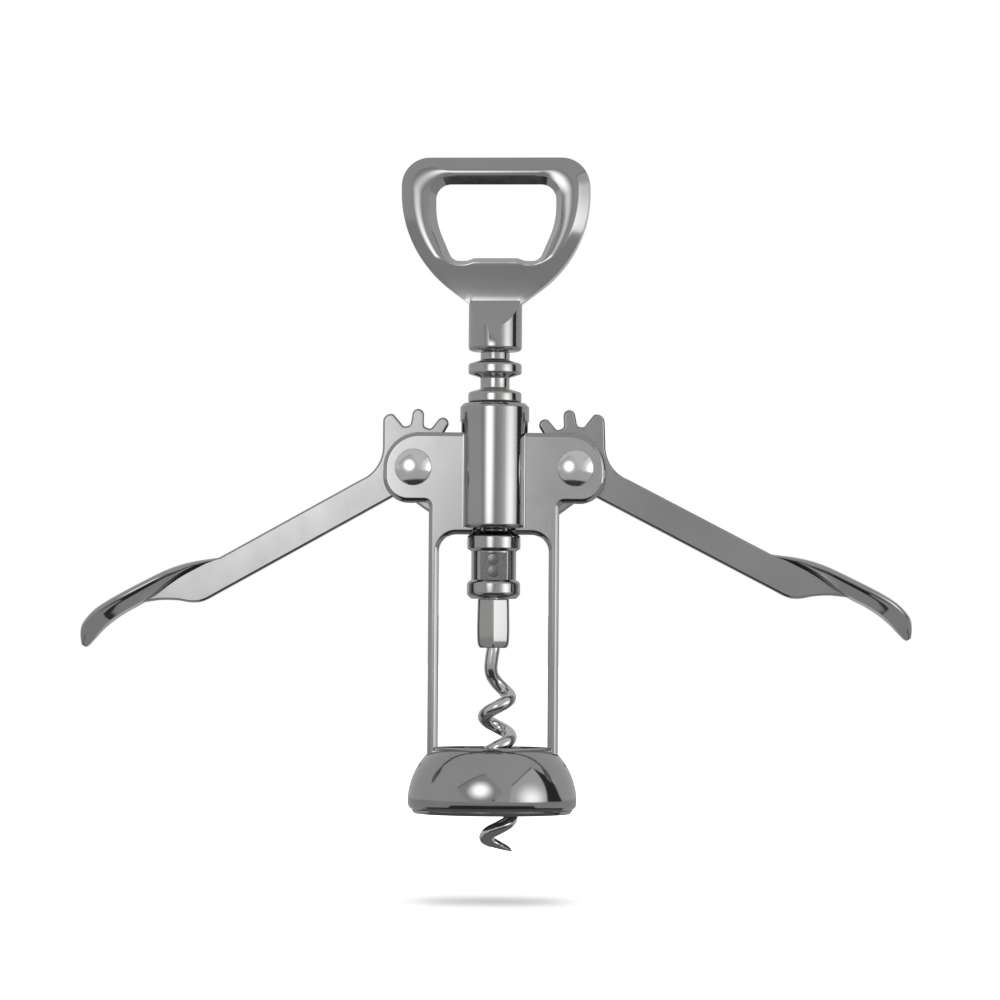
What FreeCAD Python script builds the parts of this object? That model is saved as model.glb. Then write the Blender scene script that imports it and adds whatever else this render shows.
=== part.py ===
import FreeCAD, Part
import math
import os

from FreeCAD import Base

V = Base.Vector

# ---------------------------------------------------------------------------
# Driving dimensions, millimetres.  Z runs up the screw axis, z = 0 is the
# mouth of the bell, +X points to the right lever, -Y is the front.
# ---------------------------------------------------------------------------

# frame casting
tube_outer_r = 8.3
tube_bore_r = 6.48
tube_bottom = 68.2
tube_top = 98.3
tube_top_bevel = 0.9
collar_bottom = 93.9
plate_half_depth = 4.2
plate_bottom = 66.85
slot_half_width = 2.25
slot_floor = 68.4
slot_mouth_half = 11.0
ear_half_span = 26.6
ear_top = 91.1
ear_top_round = 8.8
ear_bottom = 74.4
ear_bottom_round = 6.0
leg_outer_x = 15.6
leg_inner_x = 13.2
window_round = 4.2
leg_foot = [(17.6, 11.6, 0), (17.2, 9.0, 0)]
edge_bevel = 0.8

# bell
bell_top = 15.8
bell_lip = 1.1
bell_wall_r = 17.6
worm_port_r = 6.8
bell_outside = [
    (13.2, bell_top),
    (15.5, 14.5),
    (17.45, 11.9),
    (18.95, 9.2),
    (19.9, 6.2),
    (20.22, 2.6),
    (20.1, 1.7),
]
bell_inside = [(bell_wall_r, 7.6), (14.2, 13.4)]

# bottle seat insert
seat_bore_r = 14.9
seat_stop_z = 9.0
seat_top_z = 10.4
seat_flange_r = 19.4
seat_flange_taper = 0.6
seat_top_r = 15.9
seat_lip_r = 9.6

# pivots
pivot_x = 19.44
pivot_z = 82.7
rivet_r = 2.5
rivet_head_r = 4.4
rivet_head_height = 1.5
rivet_head_rim = 0.25
rivet_tail_r = 3.6
rivet_tail_height = 1.1

# rack sleeve
rack_pitch = 6.89
first_ring_z = 106.6
ring_count = 7
ring_r = 6.4
ring_root_r = 3.5
ring_tip_half = 1.2
ring_root_half = 2.1
rack_top = 110.75
barrel_r = 5.4
barrel_top = 62.8
barrel_shoulder = 63.4
barrel_bottom = 55.7
barrel_flat = 4.4
lower_ring_r = 6.4
lower_ring_bevel = 0.6
rack_bottom = 51.4
shank_clearance = 0.05

# worm
wire_r = 1.6
helix_r = 3.05
helix_pitch = 9.6
helix_start_z = 27.9
helix_end_z = -6.0
helix_offset = 1.0
helix_lean = 0.018
shank_bend = [
    (0, 0, 41.0),
    (0, 0, 39.3),
    (-0.3, 0, 37.2),
    (-0.5, 0.1, 35.0),
    (-0.25, 0.6, 33.2),
    (0.7, 1.4, 31.6),
    (1.9, 1.7, 30.3),
    (3.0, 1.5, 29.2),
]
straight_rings = 3
worm_tip = [(-0.6, 2.1, -6.7), (0.8, 2.9, -7.3), (2.3, 2.9, -7.9), (3.6, 2.2, -8.35), (4.7, 0.8, -8.9)]
steps_per_turn = 8
shank_top = 119.5
taper_length = 9.0
tip_r = 0.25

# ferrule
ferrule_top = 51.3
ferrule_bottom = 39.6
ferrule_trim = 0.7
ferrule_depth_share = 0.8
ferrule_levels = [(7.4, ferrule_top), (7.68, 46.8), (7.75, 44.0), (7.5, 41.0), (6.0, ferrule_bottom)]

# levers
lever_half_thickness = 2.0
arm_upper = 3.55
arm_lower = 3.82
arm_bevel = 0.5
arm_drop = 29.3
right_lever_rise = 2.05
gear_tip_r = 14.15
gear_root_r = 10.1
gear_pitch_deg = 28.4
first_tooth_deg = -23.6
tooth_count = 7
tooth_half_tip = 1.4
tooth_half_root = 1.8
tooth_root_depth = 2.5
shoulder_x = -7.35
lever_bore_r = 2.55
pad_half_width = 6.6
pad_start = 51.1

# opener handle
handle_turn = -3.5
handle_half_depth = 4.8
handle_top = 157.4
handle_flank = 2.0
neck_r = 6.42
neck_bottom = 110.85
neck_foot_bevel = 1.0
neck_top = 123.0
neck_facet_foot = 116.3
neck_web_half = 2.1
opening_draft = 1.55
dish_r = 26.0
handle_corners = [(22.65, handle_top, 6.8), (22.65, 134.6, 29.0), (6.3, neck_top - 0.7, 0)]
opening_corners = [
    (14.5, 151.2, 3.6),
    (14.45, 142.0, 18.0),
    (10.45, 132.7, 2.6),
    (7.0, 132.75, 0.9),
    (5.2, 133.4, 0.9),
]


# ---------------------------------------------------------------------------
# Shared helpers
# ---------------------------------------------------------------------------

def on_xz(point):
    """Return the 3-D point of an (x, z) pair."""
    return V(point[0], 0, point[1])


def rounded_wire(corners):
    """Return a closed wire in the XZ plane; each corner is (x, z, radius)."""
    count = len(corners)
    edges = []
    starts = []
    for i in range(count):
        x, z, radius = corners[i]
        here = V(x, 0, z)
        back = V(corners[i - 1][0], 0, corners[i - 1][1]).sub(here)
        ahead = V(corners[(i + 1) % count][0], 0, corners[(i + 1) % count][1]).sub(here)
        back.normalize()
        ahead.normalize()
        if radius <= 0:
            starts.append((here, here, here))
            continue
        half = back.getAngle(ahead) / 2.0
        reach = radius / math.tan(half)
        middle = back.add(ahead)
        middle.normalize()
        centre = here.add(middle * (radius / math.sin(half)))
        starts.append((here.add(back * reach), centre.sub(middle * radius), here.add(ahead * reach)))
    for i in range(count):
        enter, through, leave = starts[i]
        if enter.distanceToPoint(leave) > 1e-6:
            edges.append(Part.Arc(enter, through, leave).toShape())
        following = starts[(i + 1) % count][0]
        if leave.distanceToPoint(following) > 1e-6:
            edges.append(Part.makeLine(leave, following))
    return Part.Wire(Part.__sortEdges__(edges))


def slab(wire, y_low, y_high):
    """Return the solid of a flat XZ wire extruded from y_low to y_high."""
    solid = Part.Face(wire).extrude(V(0, y_high - y_low, 0))
    solid.translate(V(0, y_low, 0))
    return solid


def run_edge(points):
    """Return a line through two (x, z) points or an arc through three."""
    ends = [on_xz(p) for p in points]
    return Part.makeLine(*ends) if len(ends) == 2 else Part.Arc(*ends).toShape()


def closed_outline(runs):
    """Return a closed wire made of lines and arcs."""
    return Part.Wire([run_edge(run) for run in runs])


def turned(wire):
    """Return the solid turned about the Z axis from a closed XZ wire."""
    return Part.Face(wire).revolve(V(0, 0, 0), V(0, 0, 1), 360)


def z_cylinder(radius, z_low, z_high):
    """Return an upright cylinder on the screw axis."""
    return Part.makeCylinder(radius, z_high - z_low, V(0, 0, z_low))


def y_cylinder(radius, x, z, y_low, y_high):
    """Return a cylinder lying along Y through (x, z)."""
    return Part.makeCylinder(radius, y_high - y_low, V(x, y_low, z), V(0, 1, 0))


def rim_edges(solid, depth):
    """Return the edges lying wholly in the planes y = +depth and y = -depth."""
    chosen = []
    for edge in solid.Edges:
        box = edge.BoundBox
        flat = box.YMax - box.YMin < 1e-6
        if flat and abs(abs(box.YMax) - depth) < 1e-6:
            chosen.append(edge)
    return chosen


def mirrored(shape):
    """Return the shape mirrored to the other side of the screw axis."""
    return shape.mirror(V(0, 0, 0), V(1, 0, 0))


# ---------------------------------------------------------------------------
# Frame: tube, ears, legs and bell in one casting
# ---------------------------------------------------------------------------

def side_plate():
    """Return the right ear and leg as one slab with bevelled edges."""
    wire = rounded_wire([
        (tube_bore_r - 2, ear_top, 0),
        (ear_half_span, ear_top, ear_top_round),
        (ear_half_span, ear_bottom, ear_bottom_round),
        (leg_outer_x, ear_bottom, 1.1),
        (leg_outer_x, 13.4, 2.0),
        leg_foot[0],
        leg_foot[1],
        (leg_inner_x, leg_foot[1][1], 0),
        (leg_inner_x, plate_bottom, window_round),
        (tube_bore_r - 2, plate_bottom, 0),
    ])
    plate = slab(wire, -plate_half_depth, plate_half_depth)
    return plate.makeChamfer(edge_bevel, rim_edges(plate, plate_half_depth))


def bell_body():
    """Return the bell's outer form as a solid."""
    corners = bell_outside + [(seat_flange_r, bell_lip), (0, bell_lip), (0, bell_top)]
    return turned(rounded_wire([(x, z, 0) for x, z in corners]))


def bell_hollow():
    """Return the space inside the bell, with the worm port through its top."""
    wall, ceiling = bell_inside
    corners = [
        (0, bell_lip - 1),
        (bell_wall_r, bell_lip - 1),
        wall,
        ceiling,
        (worm_port_r, ceiling[1]),
        (worm_port_r, bell_top + 1),
        (0, bell_top + 1),
    ]
    return turned(rounded_wire([(x, z, 0) for x, z in corners]))


def frame_casting():
    """Return the complete frame casting."""
    tube = z_cylinder(tube_outer_r, tube_bottom, tube_top)
    top_edge = [e for e in tube.Edges if e.BoundBox.ZMin > tube_top - 1e-6]
    tube = tube.makeChamfer(tube_top_bevel, top_edge)
    right = side_plate()
    body = tube.fuse([right, mirrored(right), bell_body()]).removeSplitter()
    width = 2 * slot_half_width
    reach = ear_half_span + 1
    lever_corner = V(-reach, -slot_half_width, slot_floor)
    lever_slot = Part.makeBox(2 * reach, width, collar_bottom - slot_floor, lever_corner)
    mouth_corner = V(-slot_mouth_half, -slot_half_width, plate_bottom - 1)
    mouth_slot = Part.makeBox(2 * slot_mouth_half, width, slot_floor - plate_bottom + 2, mouth_corner)
    bore = z_cylinder(tube_bore_r, plate_bottom - 1, tube_top + 1)
    body = body.cut([lever_slot, mouth_slot, bore, bell_hollow()])
    for x in (-pivot_x, pivot_x):
        body = body.cut(y_cylinder(rivet_r, x, pivot_z, -plate_half_depth - 1, plate_half_depth + 1))
    return body


def bell_seat():
    """Return the insert the bottle mouth seats in."""
    corners = [
        (seat_bore_r, 0),
        (seat_flange_r - seat_flange_taper, 0),
        (seat_flange_r, bell_lip),
        (bell_wall_r, bell_lip),
        bell_inside[0],
        (seat_top_r, bell_inside[0][1]),
        (seat_top_r, seat_top_z),
        (seat_lip_r, seat_top_z),
        (seat_lip_r, seat_stop_z),
        (seat_bore_r, seat_stop_z),
    ]
    return turned(rounded_wire([(x, z, 0) for x, z in corners]))


def rivet(x):
    """Return one pivot rivet: domed head in front, set tail behind."""
    depth = plate_half_depth
    dome_r = (rivet_head_r ** 2 + rivet_head_height ** 2) / (2 * rivet_head_height)
    rim = rivet_head_rim
    head = Part.makeSphere(dome_r, V(x, -depth - rim - rivet_head_height + dome_r, pivot_z))
    crown = y_cylinder(rivet_head_r, x, pivot_z, -depth - rim - 2 * rivet_head_height, -depth - rim)
    head = head.common(crown)
    head = head.fuse(y_cylinder(rivet_head_r, x, pivot_z, -depth - rim, -depth))
    tail = y_cylinder(rivet_tail_r, x, pivot_z, depth, depth + rivet_tail_height)
    shank = y_cylinder(rivet_r, x, pivot_z, -depth, depth)
    return shank.fuse([head, tail]).removeSplitter()


# ---------------------------------------------------------------------------
# Levers
# ---------------------------------------------------------------------------

def polar(radius, clockwise_deg):
    """Return (x, z) about the pivot, angle clockwise from straight up."""
    a = math.radians(clockwise_deg)
    return radius * math.sin(a), radius * math.cos(a)


def gear_tooth(angle):
    """Return one round-tipped tooth slab about the origin, pointing at angle."""
    tip, root, low = tooth_half_tip, tooth_half_root, gear_root_r - tooth_root_depth
    wire = closed_outline([
        [(root, low), (tip, gear_tip_r - tip)],
        [(tip, gear_tip_r - tip), (0, gear_tip_r), (-tip, gear_tip_r - tip)],
        [(-tip, gear_tip_r - tip), (-root, low)],
        [(-root, low), (root, low)],
    ])
    tooth = slab(wire, -lever_half_thickness, lever_half_thickness)
    tooth.rotate(V(0, 0, 0), V(0, 1, 0), angle)
    return tooth


def arm_points(points):
    """Turn arm-local (along, above) pairs into (x, z) about the left pivot."""
    a = math.radians(arm_drop)
    out = []
    for along, above in points:
        out.append((-along * math.cos(a) - above * math.sin(a), -along * math.sin(a) + above * math.cos(a)))
    return out


def arm_outline(runs):
    """Return a closed wire from runs of arm-local points."""
    return closed_outline([arm_points(run) for run in runs])


def thumb_pad():
    """Return the curved thumb pad, widest near its rounded tip."""
    side = arm_outline([
        [(pad_start, 3.3), (60.0, 6.55), (70.8, 7.42)],
        [(70.8, 7.42), (77.5, 7.5), (83.5, 7.05)],
        [(83.5, 7.05), (87.2, 5.7), (89.4, 3.1)],
        [(89.4, 3.1), (90.1, 1.1), (89.2, 0.22)],
        [(89.2, 0.22), (86.6, 1.05), (83.2, 2.2)],
        [(83.2, 2.2), (78.0, 3.1), (72.5, 3.1)],
        [(72.5, 3.1), (62.0, 4.45), (pad_start, 2.3)],
        [(pad_start, 2.3), (pad_start, 3.3)],
    ])
    curved = slab(side, -10, 10)
    w = pad_half_width
    plan = closed_outline([
        [(-49.0, 1.9), (-53.5, 2.3), (-57.5, 3.6)],
        [(-57.5, 3.6), (-64.5, 5.9), (-74.0, w)],
        [(-74.0, w), (-80.5, 6.2), (-86.0, 4.6)],
        [(-86.0, 4.6), (-90.6, 0.0), (-86.0, -4.6)],
        [(-86.0, -4.6), (-80.5, -6.2), (-74.0, -w)],
        [(-74.0, -w), (-64.5, -5.9), (-57.5, -3.6)],
        [(-57.5, -3.6), (-53.5, -2.3), (-49.0, -1.9)],
        [(-49.0, -1.9), (-49.0, 1.9)],
    ])
    blade = slab(plan, -15, 15)
    blade.rotate(V(0, 0, 0), V(1, 0, 0), 90)
    blade.rotate(V(0, 0, 0), V(0, 1, 0), -arm_drop)
    return curved.common(blade)


def lever_web():
    """Return the flat arm and the web under the thumb pad."""
    up, low = arm_upper, -arm_lower
    wire = arm_outline([
        [(0.0, up), (0.0, low)],
        [(0.0, low), (58.8, low)],
        [(58.8, low), (62.56, -2.37), (66.49, 0.45)],
        [(66.49, 0.45), (70.4, 2.4), (75.5, 3.9)],
        [(75.5, 3.9), (75.5, 6.0)],
        [(75.5, 6.0), (63.7, 6.0)],
        [(63.7, 6.0), (57.0, 4.9), (pad_start + 0.3, up)],
        [(pad_start + 0.3, up), (0.0, up)],
    ])
    web = slab(wire, -lever_half_thickness, lever_half_thickness)
    long_edges = [e for e in rim_edges(web, lever_half_thickness) if e.Length > 40]
    return web.makeChamfer(arm_bevel, long_edges)


def gear_sector():
    """Return the toothed sector about the pivot, with its wide first and last teeth."""
    thick = lever_half_thickness
    last = first_tooth_deg + gear_pitch_deg * (tooth_count - 1)
    middle = (first_tooth_deg + last) / 2.0
    first_root, last_root = polar(gear_root_r, first_tooth_deg), polar(gear_root_r, last)
    hub = closed_outline([
        [(0, 0), first_root],
        [first_root, polar(gear_root_r, middle), last_root],
        [last_root, (0, 0)],
    ])
    shoulder = closed_outline([
        [(0, 0), (-5.2, 12.7)],
        [(-5.2, 12.7), (-6.75, 12.35), (shoulder_x, 11.0)],
        [(shoulder_x, 11.0), (shoulder_x, 4.4)],
        [(shoulder_x, 4.4), (-8.9, 0.0), (-12.6, -3.1)],
        [(-12.6, -3.1), (0, 0)],
    ])
    heel = closed_outline([
        [(0, 0), (7.3, -11.3)],
        [(7.3, -11.3), (6.3, -11.95), (5.2, -11.6)],
        [(5.2, -11.6), (-2.94, -6.0)],
        [(-2.94, -6.0), (0, 0)],
    ])
    teeth = [gear_tooth(first_tooth_deg + gear_pitch_deg * i) for i in range(tooth_count)]
    return slab(hub, -thick, thick).fuse(teeth + [slab(shoulder, -thick, thick), slab(heel, -thick, thick)])


def lever():
    """Return the left lever about the pivot: gear sector, arm and thumb pad."""
    body = gear_sector().fuse([lever_web(), thumb_pad()])
    depth = 2 * lever_half_thickness
    return body.removeSplitter().cut(y_cylinder(lever_bore_r, 0, 0, -depth, depth))


def left_lever():
    """Return the left lever in place."""
    shape = lever()
    shape.translate(V(-pivot_x, 0, pivot_z))
    return shape


def right_lever():
    """Return the right lever, which rests a little higher in the play of its teeth."""
    shape = mirrored(left_lever())
    shape.rotate(V(pivot_x, 0, pivot_z), V(0, 1, 0), -right_lever_rise)
    return shape


# ---------------------------------------------------------------------------
# Rack sleeve, worm and ferrule
# ---------------------------------------------------------------------------

def rack_sleeve():
    """Return the ringed sleeve both gear sectors mesh with."""
    bore = wire_r + shank_clearance
    corners = [(bore, rack_top), (ring_root_r, rack_top)]
    for i in range(ring_count):
        z = first_ring_z - rack_pitch * i
        corners += [(ring_root_r, z + ring_root_half), (ring_r, z + ring_tip_half)]
        if i < ring_count - 1:
            corners += [(ring_r, z - ring_tip_half), (ring_root_r, z - ring_root_half)]
    bevel = lower_ring_bevel
    corners += [
        (ring_r, barrel_shoulder),
        (barrel_r, barrel_top),
        (barrel_r, barrel_bottom),
        (lower_ring_r - bevel, barrel_bottom),
        (lower_ring_r, barrel_bottom - bevel),
        (lower_ring_r, rack_bottom + 1.0),
        (lower_ring_r - 1.0, rack_bottom),
        (bore, rack_bottom),
    ]
    sleeve = turned(rounded_wire([(x, z, 0) for x, z in corners]))
    flat_bottom = barrel_bottom + 0.1
    flat_height = barrel_top - barrel_bottom - 0.5
    for low in (barrel_flat, -barrel_flat - ring_r):
        corner = V(-ring_r, low, flat_bottom)
        sleeve = sleeve.cut(Part.makeBox(2 * ring_r, ring_r, flat_height, corner))
    return sleeve


def worm_line():
    """Return the wire's centre line as points, from the top of the straight shank to the point."""
    points = [V(0, 0, shank_top)] + [V(*point) for point in shank_bend]
    count = int((helix_start_z - helix_end_z) / helix_pitch * steps_per_turn) + 1
    for i in range(count):
        turn = -i / float(steps_per_turn)
        z = helix_start_z + turn * helix_pitch
        centre = helix_offset + helix_lean * (helix_start_z - z)
        angle = 2 * math.pi * turn
        points.append(V(centre + helix_r * math.cos(angle), helix_r * math.sin(angle), z))
    return points + [V(*point) for point in worm_tip]


def worm():
    """Return the steel worm with its long straight shank and ground point."""
    line = worm_line()
    rings = []
    across = V(1, 0, 0)
    lengths = [a.distanceToPoint(b) for a, b in zip(line, line[1:])] + [0.0]
    left = sum(lengths)
    for i, centre in enumerate(line):
        tangent = line[min(i + 1, len(line) - 1)].sub(line[max(i - 1, 0)])
        if i < straight_rings:
            tangent = V(0, 0, -1)
        tangent.normalize()
        across = across.sub(tangent * across.dot(tangent))
        across.normalize()
        radius = wire_r if left > taper_length else tip_r + (wire_r - tip_r) * (left / taper_length) ** 0.8
        ring = Part.makeCircle(radius)
        ring.Placement = Base.Placement(centre, Base.Rotation(across, tangent.cross(across), tangent))
        rings.append(Part.Wire(ring))
        left = max(left - lengths[i], 0.0)
    return Part.makeLoft(rings, True, True)


def ferrule_section(diagonal, z):
    """Return one four-sided ring with trimmed corners, a corner to the front."""
    h = diagonal / 2.0
    d = h * ferrule_depth_share
    t = ferrule_trim
    ring = [(h, t), (t, d), (-t, d), (-h, t), (-h, -t), (-t, -d), (t, -d), (h, -t)]
    return Part.makePolygon([V(x, y, z) for x, y in ring + ring[:1]])


def worm_ferrule():
    """Return the four-sided collar clamped on the wire."""
    sections = [ferrule_section(d, z) for d, z in ferrule_levels]
    block = Part.makeLoft(sections, True, True)
    return block.cut(z_cylinder(wire_r, ferrule_bottom - 1, ferrule_top + 1))


# ---------------------------------------------------------------------------
# Opener handle
# ---------------------------------------------------------------------------

def symmetric_wire(half, grow, y):
    """Return the closed outline of half and its mirror image, grown outward by grow, at depth y."""
    loop = half + [(-x, z, r) for x, z, r in reversed(half)]
    corners = []
    for i, (x, z, radius) in enumerate(loop):
        before, after = loop[i - 1], loop[(i + 1) % len(loop)]
        enter = V(x - before[0], 0, z - before[1])
        leave = V(after[0] - x, 0, after[1] - z)
        enter.normalize()
        leave.normalize()
        out = V(-enter.z - leave.z, 0, enter.x + leave.x)
        out.normalize()
        reach = grow / math.cos(enter.getAngle(leave) / 2.0)
        hollow = enter.x * leave.z - enter.z * leave.x > 0
        swell = 0 if hollow or radius == 0 else grow
        corners.append((x + out.x * reach, z + out.z * reach, radius + swell))
    wire = rounded_wire(corners)
    wire.translate(V(0, y, 0))
    return wire


def handle_ring():
    """Return the D-shaped block with its inclined outer flanks."""
    depth, land = handle_half_depth, handle_half_depth - handle_flank
    levels = [(-handle_flank, -depth), (0, -land), (0, land), (-handle_flank, depth)]
    return Part.makeLoft([symmetric_wire(handle_corners, grow, y) for grow, y in levels], True, True)


def opening_tool(sign):
    """Return the front or rear half of the drafted cap opening."""
    depth = sign * handle_half_depth
    ends = [(0, 0), (opening_draft, depth), (opening_draft, 1.4 * depth)]
    return Part.makeLoft([symmetric_wire(opening_corners, grow, y) for grow, y in ends], True, True)


def neck_tool(sign):
    """Return the wedge that slopes the front or rear of the neck down from the web."""
    far = 2 * neck_r
    slope = (neck_top - neck_facet_foot) / (neck_r - neck_web_half)
    facet = [
        (neck_web_half, neck_top),
        (far, neck_top - slope * (far - neck_web_half)),
        (far, neck_top + 1),
        (neck_web_half, neck_top + 1),
    ]
    wedge = Part.makePolygon([V(-far, sign * y, z) for y, z in facet + facet[:1]])
    return Part.Face(wedge).extrude(V(2 * far, 0, 0))


def dish_tool(sign):
    """Return the space that thins the handle's foot to the web on one side."""
    reach = 2 * handle_corners[0][0]
    depth = 4 * handle_half_depth
    centre = V(-reach, sign * (neck_web_half + dish_r), neck_top)
    hollow = Part.makeCylinder(dish_r, 2 * reach, centre, V(1, 0, 0))
    edge = neck_web_half if sign > 0 else -depth - neck_web_half
    below = Part.makeBox(2 * reach, depth, neck_r, V(-reach, edge, neck_top - neck_r))
    return hollow.fuse(below)


def opener_handle():
    """Return the cap-opener handle with its neck."""
    body = handle_ring()
    neck = z_cylinder(neck_r, neck_bottom, neck_top)
    foot = [e for e in neck.Edges if e.BoundBox.ZMax < neck_bottom + 1e-6]
    neck = neck.makeChamfer(neck_foot_bevel, foot)
    for sign in (-1, 1):
        body = body.cut([dish_tool(sign), opening_tool(sign)])
        neck = neck.cut(neck_tool(sign))
    handle = body.fuse(neck).removeSplitter()
    handle = handle.cut(z_cylinder(wire_r, neck_bottom - 1, shank_top))
    handle.rotate(V(0, 0, 0), V(0, 0, 1), handle_turn)
    return handle


# ---------------------------------------------------------------------------
# Build
# ---------------------------------------------------------------------------

def build():
    """Return every node of the corkscrew by name."""
    return {
        "frame_casting": frame_casting(),
        "bell_seat": bell_seat(),
        "left_rivet": rivet(-pivot_x),
        "right_rivet": rivet(pivot_x),
        "left_lever": left_lever(),
        "right_lever": right_lever(),
        "rack_sleeve": rack_sleeve(),
        "worm": worm(),
        "worm_ferrule": worm_ferrule(),
        "opener_handle": opener_handle(),
    }


os.makedirs("parts", exist_ok=True)
for name, shape in build().items():
    shape.exportStep("parts/%s.step" % name)
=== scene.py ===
"""Looks of a wing corkscrew: plated castings, ringed rack, steel worm and rivets, on a studio stage."""

import logging
import math
from collections.abc import Callable, Sequence
from dataclasses import dataclass, field
from enum import Enum

import bmesh
import bpy
from mathutils import Matrix, Vector


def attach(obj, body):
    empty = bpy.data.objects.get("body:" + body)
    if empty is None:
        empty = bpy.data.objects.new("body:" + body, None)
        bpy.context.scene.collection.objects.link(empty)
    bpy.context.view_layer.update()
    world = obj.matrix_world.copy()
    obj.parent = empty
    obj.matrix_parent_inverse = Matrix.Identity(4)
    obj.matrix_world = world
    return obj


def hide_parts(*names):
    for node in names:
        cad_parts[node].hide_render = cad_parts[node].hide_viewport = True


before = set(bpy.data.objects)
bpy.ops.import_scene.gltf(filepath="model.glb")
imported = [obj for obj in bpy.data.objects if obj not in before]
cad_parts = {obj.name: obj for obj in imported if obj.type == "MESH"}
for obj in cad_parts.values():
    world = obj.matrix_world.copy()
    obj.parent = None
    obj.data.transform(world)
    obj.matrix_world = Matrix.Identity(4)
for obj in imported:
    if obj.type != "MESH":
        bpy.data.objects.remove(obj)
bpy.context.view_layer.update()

LOG = logging.getLogger("corkscrew")
MM = 0.001

Pair = tuple[float, float]
Triple = tuple[float, float, float]
FaceTest = Callable[[bpy.types.MeshPolygon], bool]


class Side(Enum):
    """Which side of the screw axis a twin piece belongs to."""

    LEFT = -1
    RIGHT = 1

    @property
    def word(self) -> str:
        """The side's name as it stands in names of pieces and bodies."""
        return self.name.lower()

    @property
    def pivot(self) -> Triple:
        """The middle of this side's rivet, in millimetres."""
        return 19.44 * self.value, 0.0, 82.7


class Operation(Enum):
    """How one solid works on another."""

    CUT = "DIFFERENCE"
    JOIN = "UNION"


class Axis(Enum):
    """The axis that a turned piece is turned about."""

    UPRIGHT = "Z"
    FORWARD = "Y"


# ---------------------------------------------------------------------------
# Outlines in a plane, millimetres
# ---------------------------------------------------------------------------

def unit(dx: float, dz: float) -> Pair:
    """Return the direction (dx, dz) with length one."""
    length = math.hypot(dx, dz)
    return dx / length, dz / length


def arc_run(start: Pair, through: Pair, end: Pair, step: float = 0.25) -> list[Pair]:
    """Return points along an arc, without its end point.

    Args:
        start: First point of the arc.
        through: A point that the arc passes.
        end: Last point, left out so that runs can follow each other.
        step: Longest distance between two points.

    Returns:
        The points from start on.
    """
    (ax, az), (bx, bz), (cx, cz) = start, through, end
    twice = 2 * (ax * (bz - cz) + bx * (cz - az) + cx * (az - bz))
    a2, b2, c2 = ax * ax + az * az, bx * bx + bz * bz, cx * cx + cz * cz
    ux = (a2 * (bz - cz) + b2 * (cz - az) + c2 * (az - bz)) / twice
    uz = (a2 * (cx - bx) + b2 * (ax - cx) + c2 * (bx - ax)) / twice
    radius = math.hypot(ax - ux, az - uz)
    first = math.atan2(az - uz, ax - ux)
    middle = (math.atan2(bz - uz, bx - ux) - first) % math.tau
    sweep = (math.atan2(cz - uz, cx - ux) - first) % math.tau
    if middle > sweep:
        sweep -= math.tau
    count = max(3, math.ceil(abs(sweep) * radius / step))
    angles = [first + sweep * i / count for i in range(count)]
    return [(ux + radius * math.cos(a), uz + radius * math.sin(a)) for a in angles]


def run_outline(runs: Sequence[Sequence[Pair]], step: float = 0.25) -> list[Pair]:
    """Return a closed outline made of lines (two points) and arcs (three points).

    Args:
        runs: Runs that follow each other, of two or three points.
        step: Longest distance between two points of an arc.

    Returns:
        The outline's points.
    """
    points: list[Pair] = []
    for run in runs:
        points += [run[0]] if len(run) == 2 else arc_run(*run, step)
    return points


def rounded(corners: Sequence[Triple], step: float = 0.25) -> list[Pair]:
    """Return a closed outline whose corners (x, z, radius) are rounded.

    Args:
        corners: Corner points, each with its radius, 0 for a sharp one.
        step: Longest distance between two points of a rounding.

    Returns:
        The outline's points.
    """
    points: list[Pair] = []
    for i, (x, z, radius) in enumerate(corners):
        if radius <= 0:
            points.append((x, z))
            continue
        before, after = corners[i - 1], corners[(i + 1) % len(corners)]
        bx, bz = unit(before[0] - x, before[1] - z)
        ax, az = unit(after[0] - x, after[1] - z)
        half = 0.5 * math.acos(max(-1.0, min(1.0, bx * ax + bz * az)))
        reach = radius / math.tan(half)
        mx, mz = unit(bx + ax, bz + az)
        far = radius / math.sin(half)
        enter, leave = (x + bx * reach, z + bz * reach), (x + ax * reach, z + az * reach)
        through = (x + mx * (far - radius), z + mz * (far - radius))
        points += arc_run(enter, through, leave, step) + [leave]
    return points


def bezier(p0: Pair, p1: Pair, p2: Pair, p3: Pair, count: int) -> list[Pair]:
    """Return count + 1 points along a cubic curve.

    Args:
        p0: Start of the curve.
        p1: Handle of the start.
        p2: Handle of the end.
        p3: End of the curve.
        count: Number of equal steps.

    Returns:
        The points, both ends with them.
    """
    points = []
    for i in range(count + 1):
        t = i / count
        a, b, c, d = (1 - t) ** 3, 3 * t * (1 - t) ** 2, 3 * t * t * (1 - t), t ** 3
        points.append((a * p0[0] + b * p1[0] + c * p2[0] + d * p3[0],
                       a * p0[1] + b * p1[1] + c * p2[1] + d * p3[1]))
    return points


def through_row(rows: Sequence[Sequence[float]], place: float) -> list[float]:
    """Return the values of a table at a place between its rows, on a smooth curve.

    Args:
        rows: Rows of equally many numbers.
        place: Row number, with a fraction between two rows.

    Returns:
        One interpolated row.
    """
    last = len(rows) - 1
    k = min(int(place), last - 1)
    t = place - k
    p0, p1, p2, p3 = (rows[max(k - 1, 0)], rows[k], rows[k + 1], rows[min(k + 2, last)])
    out = []
    for a, b, c, d in zip(p0, p1, p2, p3):
        out.append(b + 0.5 * t * ((c - a) + t * (2 * a - 5 * b + 4 * c - d + t * (3 * b - a - 3 * c + d))))
    return out


def counter_clockwise(points: list[Pair]) -> list[Pair]:
    """Return the outline running counter-clockwise."""
    area = sum(a[0] * b[1] - b[0] * a[1] for a, b in zip(points, points[1:] + points[:1]))
    return points if area > 0 else points[::-1]


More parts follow.
